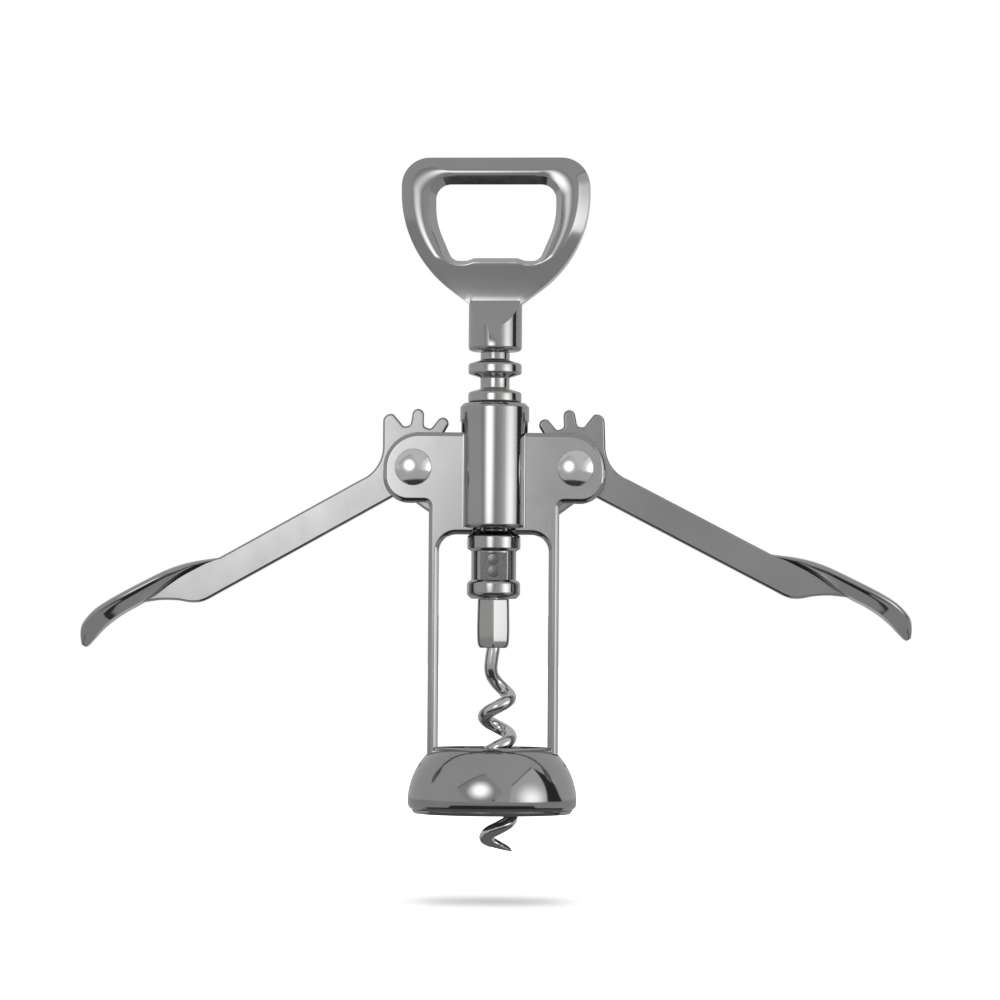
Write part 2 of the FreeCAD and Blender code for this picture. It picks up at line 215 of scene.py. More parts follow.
def inset(points: Sequence[Pair], distance: float) -> list[Pair]:
    """Return a counter-clockwise outline moved inward by distance, with mitred corners.

    Args:
        points: The outline.
        distance: How far inward, negative for outward.

    Returns:
        The moved outline.
    """
    moved = []
    for i, (x, z) in enumerate(points):
        before, after = points[i - 1], points[(i + 1) % len(points)]
        ax, az = unit(x - before[0], z - before[1])
        bx, bz = unit(after[0] - x, after[1] - z)
        scale = distance / max(1 + ax * bx + az * bz, 0.35)
        moved.append((x - (az + bz) * scale, z + (ax + bx) * scale))
    return moved


def rim_levels(half_depth: float, width: float, drop: float, ease: float) -> list[Pair]:
    """Return the (inset, y) levels of a plate with a bevelled rim, front to back.

    Args:
        half_depth: Half the plate's thickness.
        width: How far the bevel reaches in from the edge.
        drop: How far the bevel reaches back from the face.
        ease: Size of the soft corner at each end of the bevel.

    Returns:
        Levels from the front face to the back face.
    """
    share = ease / max(width, drop)
    front = [
        (width + ease, -half_depth),
        (width + 0.35 * ease, -half_depth + 0.06 * ease),
        (width * (1 - share * 0.7), -half_depth + drop * share * 0.7),
        (width * share * 0.7, -half_depth + drop * (1 - share * 0.7)),
        (0.06 * ease, -half_depth + drop + 0.35 * ease),
        (0.0, -half_depth + drop + ease),
    ]
    return front + [(d, -y) for d, y in reversed(front)]


# ---------------------------------------------------------------------------
# Meshes
# ---------------------------------------------------------------------------

def put(name: str, data: bpy.types.ID) -> bpy.types.Object:
    """Return a new object that shows the data in the scene.

    Args:
        name: The object's name.
        data: The mesh, light or camera that it shows.

    Returns:
        The new object.
    """
    item = bpy.data.objects.new(name, data)
    bpy.context.scene.collection.objects.link(item)
    return item


class Shell:
    """A surface grown ring by ring, in millimetres."""

    def __init__(self) -> None:
        """Start with nothing."""
        self.points: list[Triple] = []
        self.faces: list[list[int]] = []

    def ring(self, points: Sequence[Triple]) -> list[int]:
        """Add a ring of points and return their numbers.

        Args:
            points: The ring's points in order.

        Returns:
            The points' numbers.
        """
        start = len(self.points)
        self.points += points
        return list(range(start, start + len(points)))

    def pole(self, point: Triple, count: int) -> list[int]:
        """Add one point that stands for a whole ring."""
        self.points.append(point)
        return [len(self.points) - 1] * count

    def bridge(self, first: Sequence[int], second: Sequence[int]) -> None:
        """Join two closed rings of equally many points with faces.

        Args:
            first: Point numbers of one ring.
            second: Point numbers of the other ring.
        """
        count = len(first)
        for i in range(count):
            j = (i + 1) % count
            corners = dict.fromkeys([first[i], first[j], second[j], second[i]])
            self.faces.append(list(corners))

    def cap(self, ring: Sequence[int]) -> None:
        """Close a ring with one face."""
        self.faces.append(list(ring))

    def stack(self, rings: Sequence[Sequence[int]], capped: bool = True) -> None:
        """Join rings one to the next, and close the first and the last if capped.

        Args:
            rings: Point numbers, ring by ring.
            capped: Whether the two end rings are closed.
        """
        for first, second in zip(rings, rings[1:]):
            self.bridge(first, second)
        if capped:
            self.cap(rings[0])
            self.cap(rings[-1])

    def build(self, name: str) -> bpy.types.Object:
        """Return the surface as an object with its normals facing out.

        Args:
            name: Name of the object and its mesh.

        Returns:
            The new object.
        """
        mesh = bpy.data.meshes.new(name)
        mesh.from_pydata([(x * MM, y * MM, z * MM) for x, y, z in self.points], [], self.faces)
        solid = bmesh.new()
        solid.from_mesh(mesh)
        bmesh.ops.recalc_face_normals(solid, faces=solid.faces)
        solid.to_mesh(mesh)
        solid.free()
        return put(name, mesh)


def skin(name: str, rows: Sequence[Sequence[Triple]]) -> bpy.types.Object:
    """Return a closed piece whose skin runs from row to row of points, capped at both ends.

    Args:
        name: The piece's name.
        rows: Rows of equally many points, from end to end.

    Returns:
        The closed piece.
    """
    shell = Shell()
    shell.stack([shell.ring(row) for row in rows])
    return shell.build(name)


def plate(name: str, points: list[Pair], levels: Sequence[Pair]) -> bpy.types.Object:
    """Return a plate cut to an XZ outline, through (inset, y) levels from front to back."""
    loop = counter_clockwise(points)
    return skin(name, [[(x, y, z) for x, z in inset(loop, d)] for d, y in levels])


def box(name: str, low: Triple, high: Triple) -> bpy.types.Object:
    """Return a plain block, used only to cut other pieces."""
    (x0, y0, z0), (x1, y1, z1) = low, high
    return skin(name, [[(x0, y0, z), (x1, y0, z), (x1, y1, z), (x0, y1, z)] for z in (z0, z1)])


def turned(name: str, profile: Sequence[Pair], axis: Axis = Axis.UPRIGHT, centre: Triple = (0, 0, 0),
           segments: int = 144) -> bpy.types.Object:
    """Return a piece turned about an axis.

    Args:
        name: The piece's name.
        profile: (radius, height) points; one that starts on the axis also ends there.
        axis: The axis to turn about.
        centre: A point on the axis, where height is zero.
        segments: Faces around the axis.

    Returns:
        The turned object.
    """
    shell = Shell()
    on_axis = 1e-6
    rings = []
    for radius, height in profile:
        spots = []
        for i in range(segments):
            a = math.tau * i / segments
            u, v = radius * math.cos(a), radius * math.sin(a)
            dx, dy, dz = (u, v, height) if axis is Axis.UPRIGHT else (u, height, v)
            spots.append((centre[0] + dx, centre[1] + dy, centre[2] + dz))
        rings.append(shell.pole(spots[0], segments) if radius < on_axis else shell.ring(spots))
    hollow = profile[0][0] > on_axis
    shell.stack(rings + rings[:1] if hollow else rings, capped=False)
    return shell.build(name)


def swept(name: str, line: Sequence[Vector], radii: Sequence[float], sides: int = 28) -> bpy.types.Object:
    """Return a round wire along a line, flat at its start and pointed at its end.

    Args:
        name: The piece's name.
        line: Points of the wire's middle line.
        radii: The wire's radius at each point.
        sides: Faces around the wire.

    Returns:
        The wire.
    """
    shell = Shell()
    rings = []
    across = Vector((1, 0, 0))
    angles = [math.tau * k / sides for k in range(sides)]
    for i, centre in enumerate(line[:-1]):
        tangent = (line[i + 1] - line[max(i - 1, 0)]).normalized()
        across = (across - tangent * across.dot(tangent)).normalized()
        other = tangent.cross(across)
        spots = [centre + (across * math.cos(a) + other * math.sin(a)) * radii[i] for a in angles]
        rings.append(shell.ring([tuple(p) for p in spots]))
    rings.append(shell.pole(tuple(line[-1]), sides))
    shell.stack(rings, capped=False)
    shell.cap(rings[0])
    return shell.build(name)


def work(target: bpy.types.Object, tool: bpy.types.Object, operation: Operation) -> None:
    """Cut the tool out of the target or join it on, and remove the tool.

    Args:
        target: The piece that is worked on.
        tool: The solid that works on it.
        operation: Whether the tool cuts or joins.
    """
    modifier = target.modifiers.new("work", "BOOLEAN")
    modifier.operation = operation.value
    modifier.solver = "EXACT"
    modifier.object = tool
    bpy.context.view_layer.update()
    shaped = bpy.data.meshes.new_from_object(target.evaluated_get(bpy.context.evaluated_depsgraph_get()))
    target.modifiers.clear()
    old = target.data
    target.data = shaped
    bpy.data.meshes.remove(old)
    bpy.data.objects.remove(tool)


def soften(piece: bpy.types.Object, sharp_deg: float = 34.0) -> None:
    """Shade a piece smooth between its sharp edges, with flat faces kept flat.

    Args:
        piece: The piece.
        sharp_deg: Angle from which an edge stays sharp.
    """
    piece.data.shade_smooth()
    piece.data.set_sharp_from_angle(angle=math.radians(sharp_deg))
    modifier = piece.modifiers.new("flat faces stay flat", "WEIGHTED_NORMAL")
    modifier.keep_sharp = True
    modifier.weight = 90


# ---------------------------------------------------------------------------
# Materials
# ---------------------------------------------------------------------------

def set_inputs(node: bpy.types.Node, values: dict) -> None:
    """Set a node's inputs, each found by its name or number."""
    for key, value in values.items():
        node.inputs[key].default_value = value


def add_node(tree: bpy.types.NodeTree, kind: str, values: dict | None = None,
             **settings: str) -> bpy.types.Node:
    """Add a shader node.

    Args:
        tree: The tree that gets the node.
        kind: The node's kind, without the word that all shader nodes start with.
        values: Values of its inputs, by name or number.
        **settings: The node's own settings, such as its operation.

    Returns:
        The new node.
    """
    node = tree.nodes.new(f"ShaderNode{kind}")
    for key, value in settings.items():
        setattr(node, key, value)
    set_inputs(node, values or {})
    return node


def link(source: bpy.types.Node, output: str, target: bpy.types.Node, key: str | int) -> None:
    """Lead a node's output into another node's input."""
    source.id_data.links.new(source.outputs[output], target.inputs[key])


def ranged(tree: bpy.types.NodeTree, source: Pair, target: Pair, blend: str = "LINEAR") -> bpy.types.Node:
    """Return a node that maps one range of values to another."""
    ends = {"From Min": source[0], "From Max": source[1], "To Min": target[0], "To Max": target[1]}
    return add_node(tree, "MapRange", ends, interpolation_type=blend)


def empty_tree(owner: bpy.types.Material | bpy.types.World) -> bpy.types.NodeTree:
    """Return the owner's node tree with nothing in it.

    Args:
        owner: The material or the world.

    Returns:
        Its node tree.
    """
    owner.use_nodes = True
    owner.node_tree.nodes.clear()
    return owner.node_tree


NOISE_SPAN = (0.3, 0.7)
CLOUDS_PER_M = 45.0
CLOUD_SHADES = (0.94, 1.05)
PATCHES_PER_M = 160.0
EDGE_SPAN = (0.52, 0.62)
RUBBED_SHADE = 1.5
SMOOTHEST = 0.02


@dataclass(frozen=True)
class MetalFinish:
    """A metal surface: its colour, its gloss and the fine marks in it."""

    name: str
    tint: Triple
    roughness: float
    roughness_spread: float
    grain_per_m: float
    grain_depth_m: float
    grain_stretch: Triple = (1.0, 1.0, 1.0)
    worn_edge: float = 0.12

    def material(self) -> bpy.types.Material:
        """Return the finish as a node material, made once.

        Returns:
            The material, the same one at every call.
        """
        found = bpy.data.materials.get(self.name)
        if found:
            return found
        material = bpy.data.materials.new(self.name)
        tree = empty_tree(material)
        shader = add_node(tree, "BsdfPrincipled", {"Metallic": 1.0})
        link(shader, "BSDF", add_node(tree, "OutputMaterial"), "Surface")
        place = add_node(tree, "TexCoord")
        self._colour(tree, place, shader)
        self._gloss(tree, place, shader)
        self._grain(tree, place, shader)
        return material

    def _shade(self, times: float) -> tuple[float, ...]:
        """Return the tint made lighter or darker, as an opaque colour."""
        return tuple(min(c * times, 1.0) for c in self.tint) + (1.0,)

    def _noise(self, tree: bpy.types.NodeTree, place: bpy.types.Node, scale: float, detail: float,
               stretch: Triple = (1.0, 1.0, 1.0)) -> bpy.types.Node:
        """Return a noise texture on the piece's own coordinates.

        Args:
            tree: The finish's node tree.
            place: The node that gives the piece's own coordinates.
            scale: Fineness of the pattern, in marks per metre.
            detail: Number of finer layers.
            stretch: Scale along each axis.

        Returns:
            The noise node.
        """
        mapping = add_node(tree, "Mapping", {"Scale": stretch})
        noise = add_node(tree, "TexNoise", {"Scale": scale, "Detail": detail})
        link(place, "Object", mapping, "Vector")
        link(mapping, "Vector", noise, "Vector")
        return noise

    def _colour(self, tree: bpy.types.NodeTree, place: bpy.types.Node, shader: bpy.types.Node) -> None:
        """Let the colour drift a little, and lighten where edges are rubbed.

        Args:
            tree: The finish's node tree.
            place: The node that gives the piece's own coordinates.
            shader: The metal shader.
        """
        cloud = self._noise(tree, place, CLOUDS_PER_M, 3.0)
        drift = add_node(tree, "ValToRGB")
        dark, light = drift.color_ramp.elements
        dark.position, light.position = NOISE_SPAN
        dark.color, light.color = (self._shade(times) for times in CLOUD_SHADES)
        edge = ranged(tree, EDGE_SPAN, (0.0, self.worn_edge))
        rubbed = add_node(tree, "Mix", {"B": self._shade(RUBBED_SHADE)}, data_type="RGBA")
        link(cloud, "Fac", drift, "Fac")
        link(add_node(tree, "NewGeometry"), "Pointiness", edge, "Value")
        link(edge, "Result", rubbed, "Factor")
        link(drift, "Color", rubbed, "A")
        link(rubbed, "Result", shader, "Base Color")

    def _gloss(self, tree: bpy.types.NodeTree, place: bpy.types.Node, shader: bpy.types.Node) -> None:
        """Vary the gloss in soft patches, as a handled plating does.

        Args:
            tree: The finish's node tree.
            place: The node that gives the piece's own coordinates.
            shader: The metal shader.
        """
        patches = self._noise(tree, place, PATCHES_PER_M, 4.0)
        least = max(self.roughness - self.roughness_spread, SMOOTHEST)
        gloss = ranged(tree, NOISE_SPAN, (least, self.roughness + self.roughness_spread))
        link(patches, "Fac", gloss, "Value")
        link(gloss, "Result", shader, "Roughness")

    def _grain(self, tree: bpy.types.NodeTree, place: bpy.types.Node, shader: bpy.types.Node) -> None:
        """Raise a very fine grain.

        Args:
            tree: The finish's node tree.
            place: The node that gives the piece's own coordinates.
            shader: The metal shader.
        """
        grain = self._noise(tree, place, self.grain_per_m, 2.0, self.grain_stretch)
        bump = add_node(tree, "Bump", {"Strength": 1.0, "Distance": self.grain_depth_m})
        link(grain, "Fac", bump, "Height")
        link(bump, "Normal", shader, "Normal")


PLATING = (0.415, 0.415, 0.415)
LENGTHWISE = (1.0, 1.0, 0.35)
BRIGHT_PLATE = MetalFinish("bright_plate", PLATING, 0.085, 0.02, 900.0, 1.2e-6)
SATIN_PLATE = MetalFinish("satin_plate", (0.49, 0.49, 0.49), 0.23, 0.03, 5200.0, 4.0e-6, LENGTHWISE)
HANDLE_PLATE = MetalFinish("handle_plate", PLATING, 0.12, 0.02, 1500.0, 1.4e-6)
SPINDLE_CHROME = MetalFinish("spindle_chrome", (0.46, 0.455, 0.45), 0.10, 0.02, 1200.0, 1.2e-6)
LEVER_SATIN = MetalFinish("lever_satin", (0.395, 0.395, 0.395), 0.23, 0.03, 5200.0, 4.0e-6, LENGTHWISE)
# Rack flats: coarse cast grain and roughness, with the tint painted dark as a painted reflection of the
# camera that the front flat faces.
CAST_FLAT_PAINTED_DARK = MetalFinish("cast_flat_painted_dark", (0.20, 0.20, 0.20), 0.30, 0.10, 2600.0, 3.0e-5, worn_edge=0.6)
RIVET_STEEL = MetalFinish("polished_rivet", (0.80, 0.80, 0.80), 0.13, 0.02, 1400.0, 3.0e-6)
WORM_STEEL = MetalFinish("drawn_wire", (0.68, 0.68, 0.68), 0.14, 0.04, 1400.0, 6.0e-6, (1.0, 1.0, 0.3))


def stand_for(piece: bpy.types.Object, node: str, body: str, finish: MetalFinish,
              second: tuple[MetalFinish, FaceTest] | None = None) -> bpy.types.Object:
    """Finish a piece and let it replace a CAD node.

    Args:
        piece: The piece, in its place.
        node: The CAD node that it replaces.
        body: The body that it rides on.
        finish: The finish of the whole piece.
        second: Another finish, and the test that tells which faces have it.

    Returns:
        The same piece.
    """
    soften(piece)
    piece.data.materials.clear()
    piece.data.materials.append(finish.material())
    if second:
        other, has_other = second
        piece.data.materials.append(other.material())
        for face in piece.data.polygons:
            if has_other(face):
                face.material_index = 1
    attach(piece, body)
    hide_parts(node)
    LOG.info("%s: %d faces on body %s", piece.name, len(piece.data.polygons), body)
    return piece


def on_plate_face(polygon: bpy.types.MeshPolygon, half_depth: float) -> bool:
    """Tell whether a face lies flat on the front or the back of a plate of this half thickness."""
    return abs(polygon.normal.y) > 0.999 and abs(abs(polygon.center.y) - half_depth * MM) < 5e-6


# ---------------------------------------------------------------------------
# The corkscrew's pieces
# ---------------------------------------------------------------------------

@dataclass
class FrameCasting:
    """Tube, ears, legs and bell in one plated casting, with its seat ring and rivets."""

    tube_radius: float = 8.3
    tube_bore: float = 6.48
    tube_low: float = 68.2
    tube_top: float = 98.3
    tube_sides: int = 192
    collar_low: float = 93.9
    half_depth: float = 4.2
    rim_width: float = 0.84
    rim_drop: float = 0.62
    rim_ease: float = 0.16
    slot_half: float = 2.25
    slot_floor: float = 68.4
    plate_low: float = 66.85
    plate_inner: float = 4.48
    fillet: float = 0.75
    ear_top: float = 91.1
    ear_low: float = 74.4
    ear_side: float = 26.6
    leg_outer: float = 15.6
    leg_inner: float = 13.2
    bell_sides: int = 224
    rivet_head: float = 4.4
    rivet_shank: float = 2.5
    rivet_slope_deg: float = 27.0

    def side_plate(self, side: Side) -> bpy.types.Object:
        """Return one ear and leg with its bevelled rim.

        Args:
            side: The side that it stands on.

        Returns:
            The plate.
        """
        foot = 9.0
        corners = [
            (self.plate_inner, self.ear_top, 0), (self.ear_side, self.ear_top, 8.8),
            (self.ear_side, self.ear_low, 6.0), (self.leg_outer, self.ear_low, 1.1),
            (self.leg_outer, 13.4, 2.0), (17.6, 11.6, 0), (17.2, foot, 0), (self.leg_inner, foot, 0),
            (self.leg_inner, self.plate_low, 4.2), (self.plate_inner, self.plate_low, 0)]
        points = [(x * side.value, z) for x, z in rounded(corners)]
        levels = rim_levels(self.half_depth, self.rim_width, self.rim_drop, self.rim_ease)
        return plate("ear_and_leg", points, levels)

    def tube(self) -> bpy.types.Object:
        """Return the guide tube, whose rear half reaches a little lower.

        Returns:
            The tube, solid with its rear skirt.
        """
        bore, radius, low, top = self.tube_bore, self.tube_radius, self.tube_low, self.tube_top
        bevel = 0.9
        profile = rounded([(bore, low, 0.2), (radius, low, 1.0), (radius, top - bevel, 0.6),
                           (radius - bevel, top, 0.3), (bore, top, 0.25)], 0.08)
        tube = turned("tube", profile, segments=self.tube_sides)
        bore, radius, above, front = bore + 0.01, radius - 0.01, low + 2, 2.0
        profile = rounded([(bore, self.plate_low, 0.2), (radius, self.plate_low, 0.3), (radius, above, 0),
                           (bore, above, 0)])
        skirt = turned("skirt", profile, segments=self.tube_sides)
        work(skirt, box("front", (-9, -9, 60), (9, front, 75)), Operation.CUT)
        work(tube, skirt, Operation.JOIN)
        return tube

    def corner_fillet(self, side: Side, face: int) -> bpy.types.Object:
        """Return the cast fillet bar between the tube and one ear face.

        Args:
            side: The side of the ear.
            face: The ear's face: -1 for the front, 1 for the rear.

        Returns:
            The fillet bar.
        """
        outer, deep = self.tube_radius + self.fillet, self.half_depth + self.fillet
        inside = self.half_depth - 0.4
        cx = math.sqrt(outer ** 2 - deep ** 2)
        start = math.atan2(-deep, -cx)
        sweep = -math.pi / 2 - start
        section = [(cx + self.fillet * math.cos(start + sweep * i / 8),
                    deep + self.fillet * math.sin(start + sweep * i / 8)) for i in range(9)]
        section += [(cx, inside), (section[0][0] - 0.5, inside)]
        return skin("fillet", [[(x * side.value, y * face, z) for x, y in section]
                               for z in (self.tube_low + 0.2, self.ear_top - self.rim_drop)])

    def bell(self) -> bpy.types.Object:
        """Return the bell with its hollow and the worm port.

        Returns:
            The bell.
        """
        profile = bezier((13.0, 15.8), (15.08, 15.8), (20.22, 9.88), (20.22, 3.24), 48)
        profile += [(20.2, 2.4), (20.1, 1.85), (19.85, 1.4), (19.45, 1.1), (17.6, 1.1), (17.6, 7.6),
                    (14.2, 13.4), (6.8, 13.4), (6.8, 15.65), (6.95, 15.8)]
        return turned("bell", profile, segments=self.bell_sides)

    def build(self) -> bpy.types.Object:
        """Return the casting with its lever slot and bore cut.

        Returns:
            The finished casting.
        """
        body = self.tube()
        body.name = "frame_shell"
        for side in Side:
            work(body, self.side_plate(side), Operation.JOIN)
            for face in (-1, 1):
                work(body, self.corner_fillet(side, face), Operation.JOIN)
        work(body, self.bell(), Operation.JOIN)
        half, floor, past_ears, in_legs = self.slot_half, self.slot_floor, 30, 11
        for name, reach, low, high in (("slot", past_ears, floor, self.collar_low),
                                       ("mouth", in_legs, self.plate_low - 1, floor + 1)):
            work(body, box(name, (-reach, -half, low), (reach, half, high)), Operation.CUT)
        low, high = 60.0, 105.0
        profile = [(0, low), (self.tube_bore, low), (self.tube_bore, high), (0, high)]
        work(body, turned("bore", profile, segments=self.tube_sides), Operation.CUT)
        return stand_for(body, "frame_casting", "frame", BRIGHT_PLATE,
                         (SATIN_PLATE, self.is_ear_face))

    def is_ear_face(self, polygon: bpy.types.MeshPolygon) -> bool:
        """Tell the ears' flat front and back faces, which have a satin finish."""
        return on_plate_face(polygon, self.half_depth) and polygon.center.z > self.plate_low * MM

    def seat(self) -> bpy.types.Object:
        """Return the lip ring that a bottle's mouth seats in.

        Returns:
            The finished ring.
        """
        profile = rounded([
            (14.9, 0.0, 0.25), (18.75, 0.0, 0.2), (19.4, 0.98, 0.15), (17.55, 1.0, 0), (17.55, 7.6, 0.3),
            (15.95, 10.4, 0.2), (9.6, 10.4, 0.3), (9.6, 9.0, 0.2), (14.9, 9.0, 0.4)], 0.08)
        ring = turned("bell_lip_ring", profile, segments=self.bell_sides)
        return stand_for(ring, "bell_seat", "frame", BRIGHT_PLATE)

    def rivet(self, side: Side) -> bpy.types.Object:
        """Return one pivot rivet, its domed head in front.

        Args:
            side: The side that it is on.

        Returns:
            The finished rivet.
        """
        front, back, head, shank = -self.half_depth, self.half_depth, self.rivet_head, self.rivet_shank
        spread = math.radians(self.rivet_slope_deg)
        dome = (head - 0.25) / math.sin(spread)
        top = front - 0.5 - dome * (1 - math.cos(spread))
        angles = [spread * i / 24 for i in range(25)]
        profile = [(dome * math.sin(a), top + dome * (1 - math.cos(a))) for a in angles]
        profile += [(head - 0.12, front - 0.4), (head - 0.03, front - 0.24), (head, front - 0.02),
                    (shank, front - 0.02), (shank, back + 0.02), (3.45, back + 0.02), (3.6, back + 0.15),
                    (3.55, back + 0.4), (3.1, back + 0.95), (2.75, back + 1.1), (0.0, back + 1.1)]
        piece = turned(f"rivet_{side.word}", profile, Axis.FORWARD, side.pivot, 96)
        return stand_for(piece, f"{side.word}_rivet", "frame", RIVET_STEEL)


@dataclass
class Lever:
    """One wing lever: gear sector, flat arm and thumb pad."""

    side: Side
    half_thickness: float = 2.0
    rim_width: float = 0.42
    rim_drop: float = 0.36
    rim_ease: float = 0.10
    arm_upper: float = 3.55
    arm_lower: float = 3.82
    right_rise_deg: float = 2.05
    arm_drop: float = 29.3
    tip_radius: float = 14.15
    tooth_pitch: float = 28.4
    first_tooth: float = -23.6
    tooth_count: int = 7
    tooth_half_tip: float = 1.4
    tooth_root: tuple[Pair, ...] = ((2.16, 9.87), (1.62, 9.98), (1.52, 10.8))
    bore: float = 2.55
    pad_rows: list[tuple[float, ...]] = field(default_factory=lambda: [
        # top along, top above, low along, low above, web above, half width
        (50.0, 3.10, 50.0, 2.30, 2.10, 1.20), (53.5, 4.50, 53.5, 3.75, 3.00, 2.45),
        (57.0, 5.75, 57.0, 4.45, 3.30, 3.40), (60.5, 6.65, 60.5, 4.60, 3.60, 4.50),
        (64.5, 7.20, 64.5, 4.20, 3.40, 5.60), (70.5, 7.42, 69.0, 3.35, 2.90, 6.35),
        (75.5, 7.50, 73.5, 3.10, 3.10, 6.60), (79.8, 7.45, 77.5, 3.10, 3.10, 6.30),
        (83.4, 7.08, 81.2, 2.70, 2.70, 5.50), (86.6, 6.05, 84.3, 1.90, 1.90, 4.20),
        (88.2, 4.95, 86.8, 0.95, 0.95, 2.90), (89.4, 3.10, 88.6, 0.30, 0.30, 1.80),
        (90.1, 1.30, 89.5, 0.25, 0.25, 0.90)])
    web_rows: list[Pair] = field(default_factory=lambda: [
        (57.0, -3.82), (58.6, -3.80), (60.6, -3.42), (62.56, -2.37), (64.46, -0.85), (66.49, 0.45),
        (68.61, 1.57), (70.86, 2.47), (73.3, 3.4), (75.5, 4.8)])

    def arm(self, along: float, above: float) -> Pair:
        """Return (x, z) about the pivot of a place on the arm."""
        a = math.radians(self.arm_drop)
        return -along * math.cos(a) - above * math.sin(a), -along * math.sin(a) + above * math.cos(a)

    def tooth(self, number: int) -> list[Pair]:
        """Return one tooth's outline from its left root to its right root.

        Args:
            number: The tooth's number, from 0 for the topmost.

        Returns:
            The outline's points about the pivot.
        """
        centre = self.tip_radius - self.tooth_half_tip
        root = []
        for i in range(6):
            t = i / 5
            shares = ((1 - t) ** 2, 2 * t * (1 - t), t * t)
            root.append([sum(share * spot[k] for share, spot in zip(shares, self.tooth_root))
                         for k in (0, 1)])
        tip = [(self.tooth_half_tip * math.cos(a), centre + self.tooth_half_tip * math.sin(a))
               for a in (math.pi * i / 14 for i in range(15))]
        local = [(-u, v) for u, v in root] + [(-u, v) for u, v in tip] + [(u, v) for u, v in reversed(root)]
        a = math.radians(self.first_tooth + self.tooth_pitch * number)
        return [(u * math.cos(a) + v * math.sin(a), -u * math.sin(a) + v * math.cos(a)) for u, v in local]

    def gear_and_arm(self) -> list[Pair]:
        """Return the outline of the gear sector, the arm and the web under the pad.

        Returns:
            The outline's points about the pivot, as on the left lever.
        """
        points = run_outline([[self.arm(51.0, self.arm_upper), self.arm(12.5, self.arm_upper)],
                              [self.arm(12.5, self.arm_upper), (-8.9, 0.0), (-7.35, 4.4)],
                              [(-7.35, 4.4), (-7.35, 11.0)],
                              [(-7.35, 11.0), (-6.8, 12.3), (-5.75, 12.85)],
                              [(-5.75, 12.85), (-4.9, 12.75), (-4.35, 12.1)]])
        points += self.tooth(0)[-6:]
        for k in range(1, self.tooth_count - 1):
            points += self.tooth(k)
        points += self.tooth(self.tooth_count - 1)[:15]
        points += [(6.75, -12.05), (6.3, -11.97), (5.85, -11.86), (5.5, -11.74)]
        low_edge = self.arm(57.0, -self.arm_lower)
        points += rounded([(5.2, -11.6, 0), (-2.94, -6.0, 2.0), (*low_edge, 0)])
        steps = 4 * (len(self.web_rows) - 1)
        points += [self.arm(*through_row(self.web_rows, (len(self.web_rows) - 1) * i / steps))
                   for i in range(1, steps + 1)]
        points += run_outline([[self.arm(75.5, 6.6), self.arm(63.0, 6.3)],
                               [self.arm(63.0, 6.3), self.arm(56.5, 4.9), self.arm(51.0, self.arm_upper)]])
        return points

    def pad_section(self, place: float) -> list[Triple]:
        """Return one cross-section ring of the thumb pad.

        Args:
            place: Row of the pad table, with a fraction between rows.

        Returns:
            The ring's points about the pivot.
        """
        top_along, top, low_along, low, web, half = through_row(self.pad_rows, place)
        thick = top - low
        rim = min(0.95, 0.45 * thick, 0.45 * half)
        crown = min(0.35, 0.12 * half)
        side = []
        for i in range(7):
            y = (half - rim) * i / 7
            side.append((y, -crown * (y / half) ** 2))
        for i in range(7):
            a = math.pi / 2 * i / 6
            side.append((half - rim + rim * math.sin(a), -crown - rim * (1 - math.cos(a))))
        deep = thick - crown - rim
        cove = min(0.5, 0.35 * deep)
        low_rim = -crown - rim
        side += [(half - 0.25 * cove, low_rim - 0.12 * deep), (half - 0.75 * cove, low_rim - 0.2 * deep),
                 (half - cove, low_rim - 0.32 * deep), (half - cove - 0.05 * deep, low_rim - 0.6 * deep),
                 (half - cove - 0.11 * deep, -thick + 0.12)]
        foot = half - cove - 0.11 * deep - min(0.2, 0.1 * half)
        inner = max(min(1.45, foot - 0.1), 0.1)
        step = low - web
        side += [(foot, -thick), ((foot + inner) * 0.5, -thick - step * 0.3), (inner, -thick - step)]
        spots = []
        dx, dz = top_along - low_along, top - low
        for sign, part in ((1, side), (-1, side[:0:-1])):
            for y, depth in part:
                share = 1 + depth / thick
                x, z = self.arm(low_along + dx * share, low + dz * share)
                spots.append((x, y * sign, z))
        return spots

    def pad(self) -> bpy.types.Object:
        """Return the thumb pad as one smooth closed skin."""
        steps = 72
        return skin("pad", [self.pad_section((len(self.pad_rows) - 1) * i / steps) for i in range(steps + 1)])

    def build(self) -> bpy.types.Object:
        """Return the lever in place, mirrored for the right side.

        Returns:
            The finished lever.
        """
        levels = rim_levels(self.half_thickness, self.rim_width, self.rim_drop, self.rim_ease)
        body = plate("web", self.gear_and_arm(), levels)
        work(body, self.pad(), Operation.JOIN)
        reach = 6
        profile = [(0, -reach), (self.bore, -reach), (self.bore, reach), (0, reach)]
        work(body, turned("bore", profile, Axis.FORWARD, segments=64), Operation.CUT)
        word = self.side.word
        body.name = f"lever_{word}_casting"
        rise = math.radians(self.right_rise_deg) if self.side is Side.RIGHT else 0.0
        place = Matrix.Translation([c * MM for c in self.side.pivot])
        mirror = Matrix.Diagonal((-float(self.side.value), 1.0, 1.0, 1.0))
        body.data.transform(place @ Matrix.Rotation(-rise, 4, "Y") @ mirror)
        if self.side is Side.RIGHT:
            body.data.flip_normals()
        return stand_for(body, f"{word}_lever", f"{word}_arm", BRIGHT_PLATE,
                         (LEVER_SATIN, self.is_flat_face))

    def is_flat_face(self, polygon: bpy.types.MeshPolygon) -> bool:
        """Tell the lever's flat front and back faces, which have a satin finish."""
        return on_plate_face(polygon, self.half_thickness)


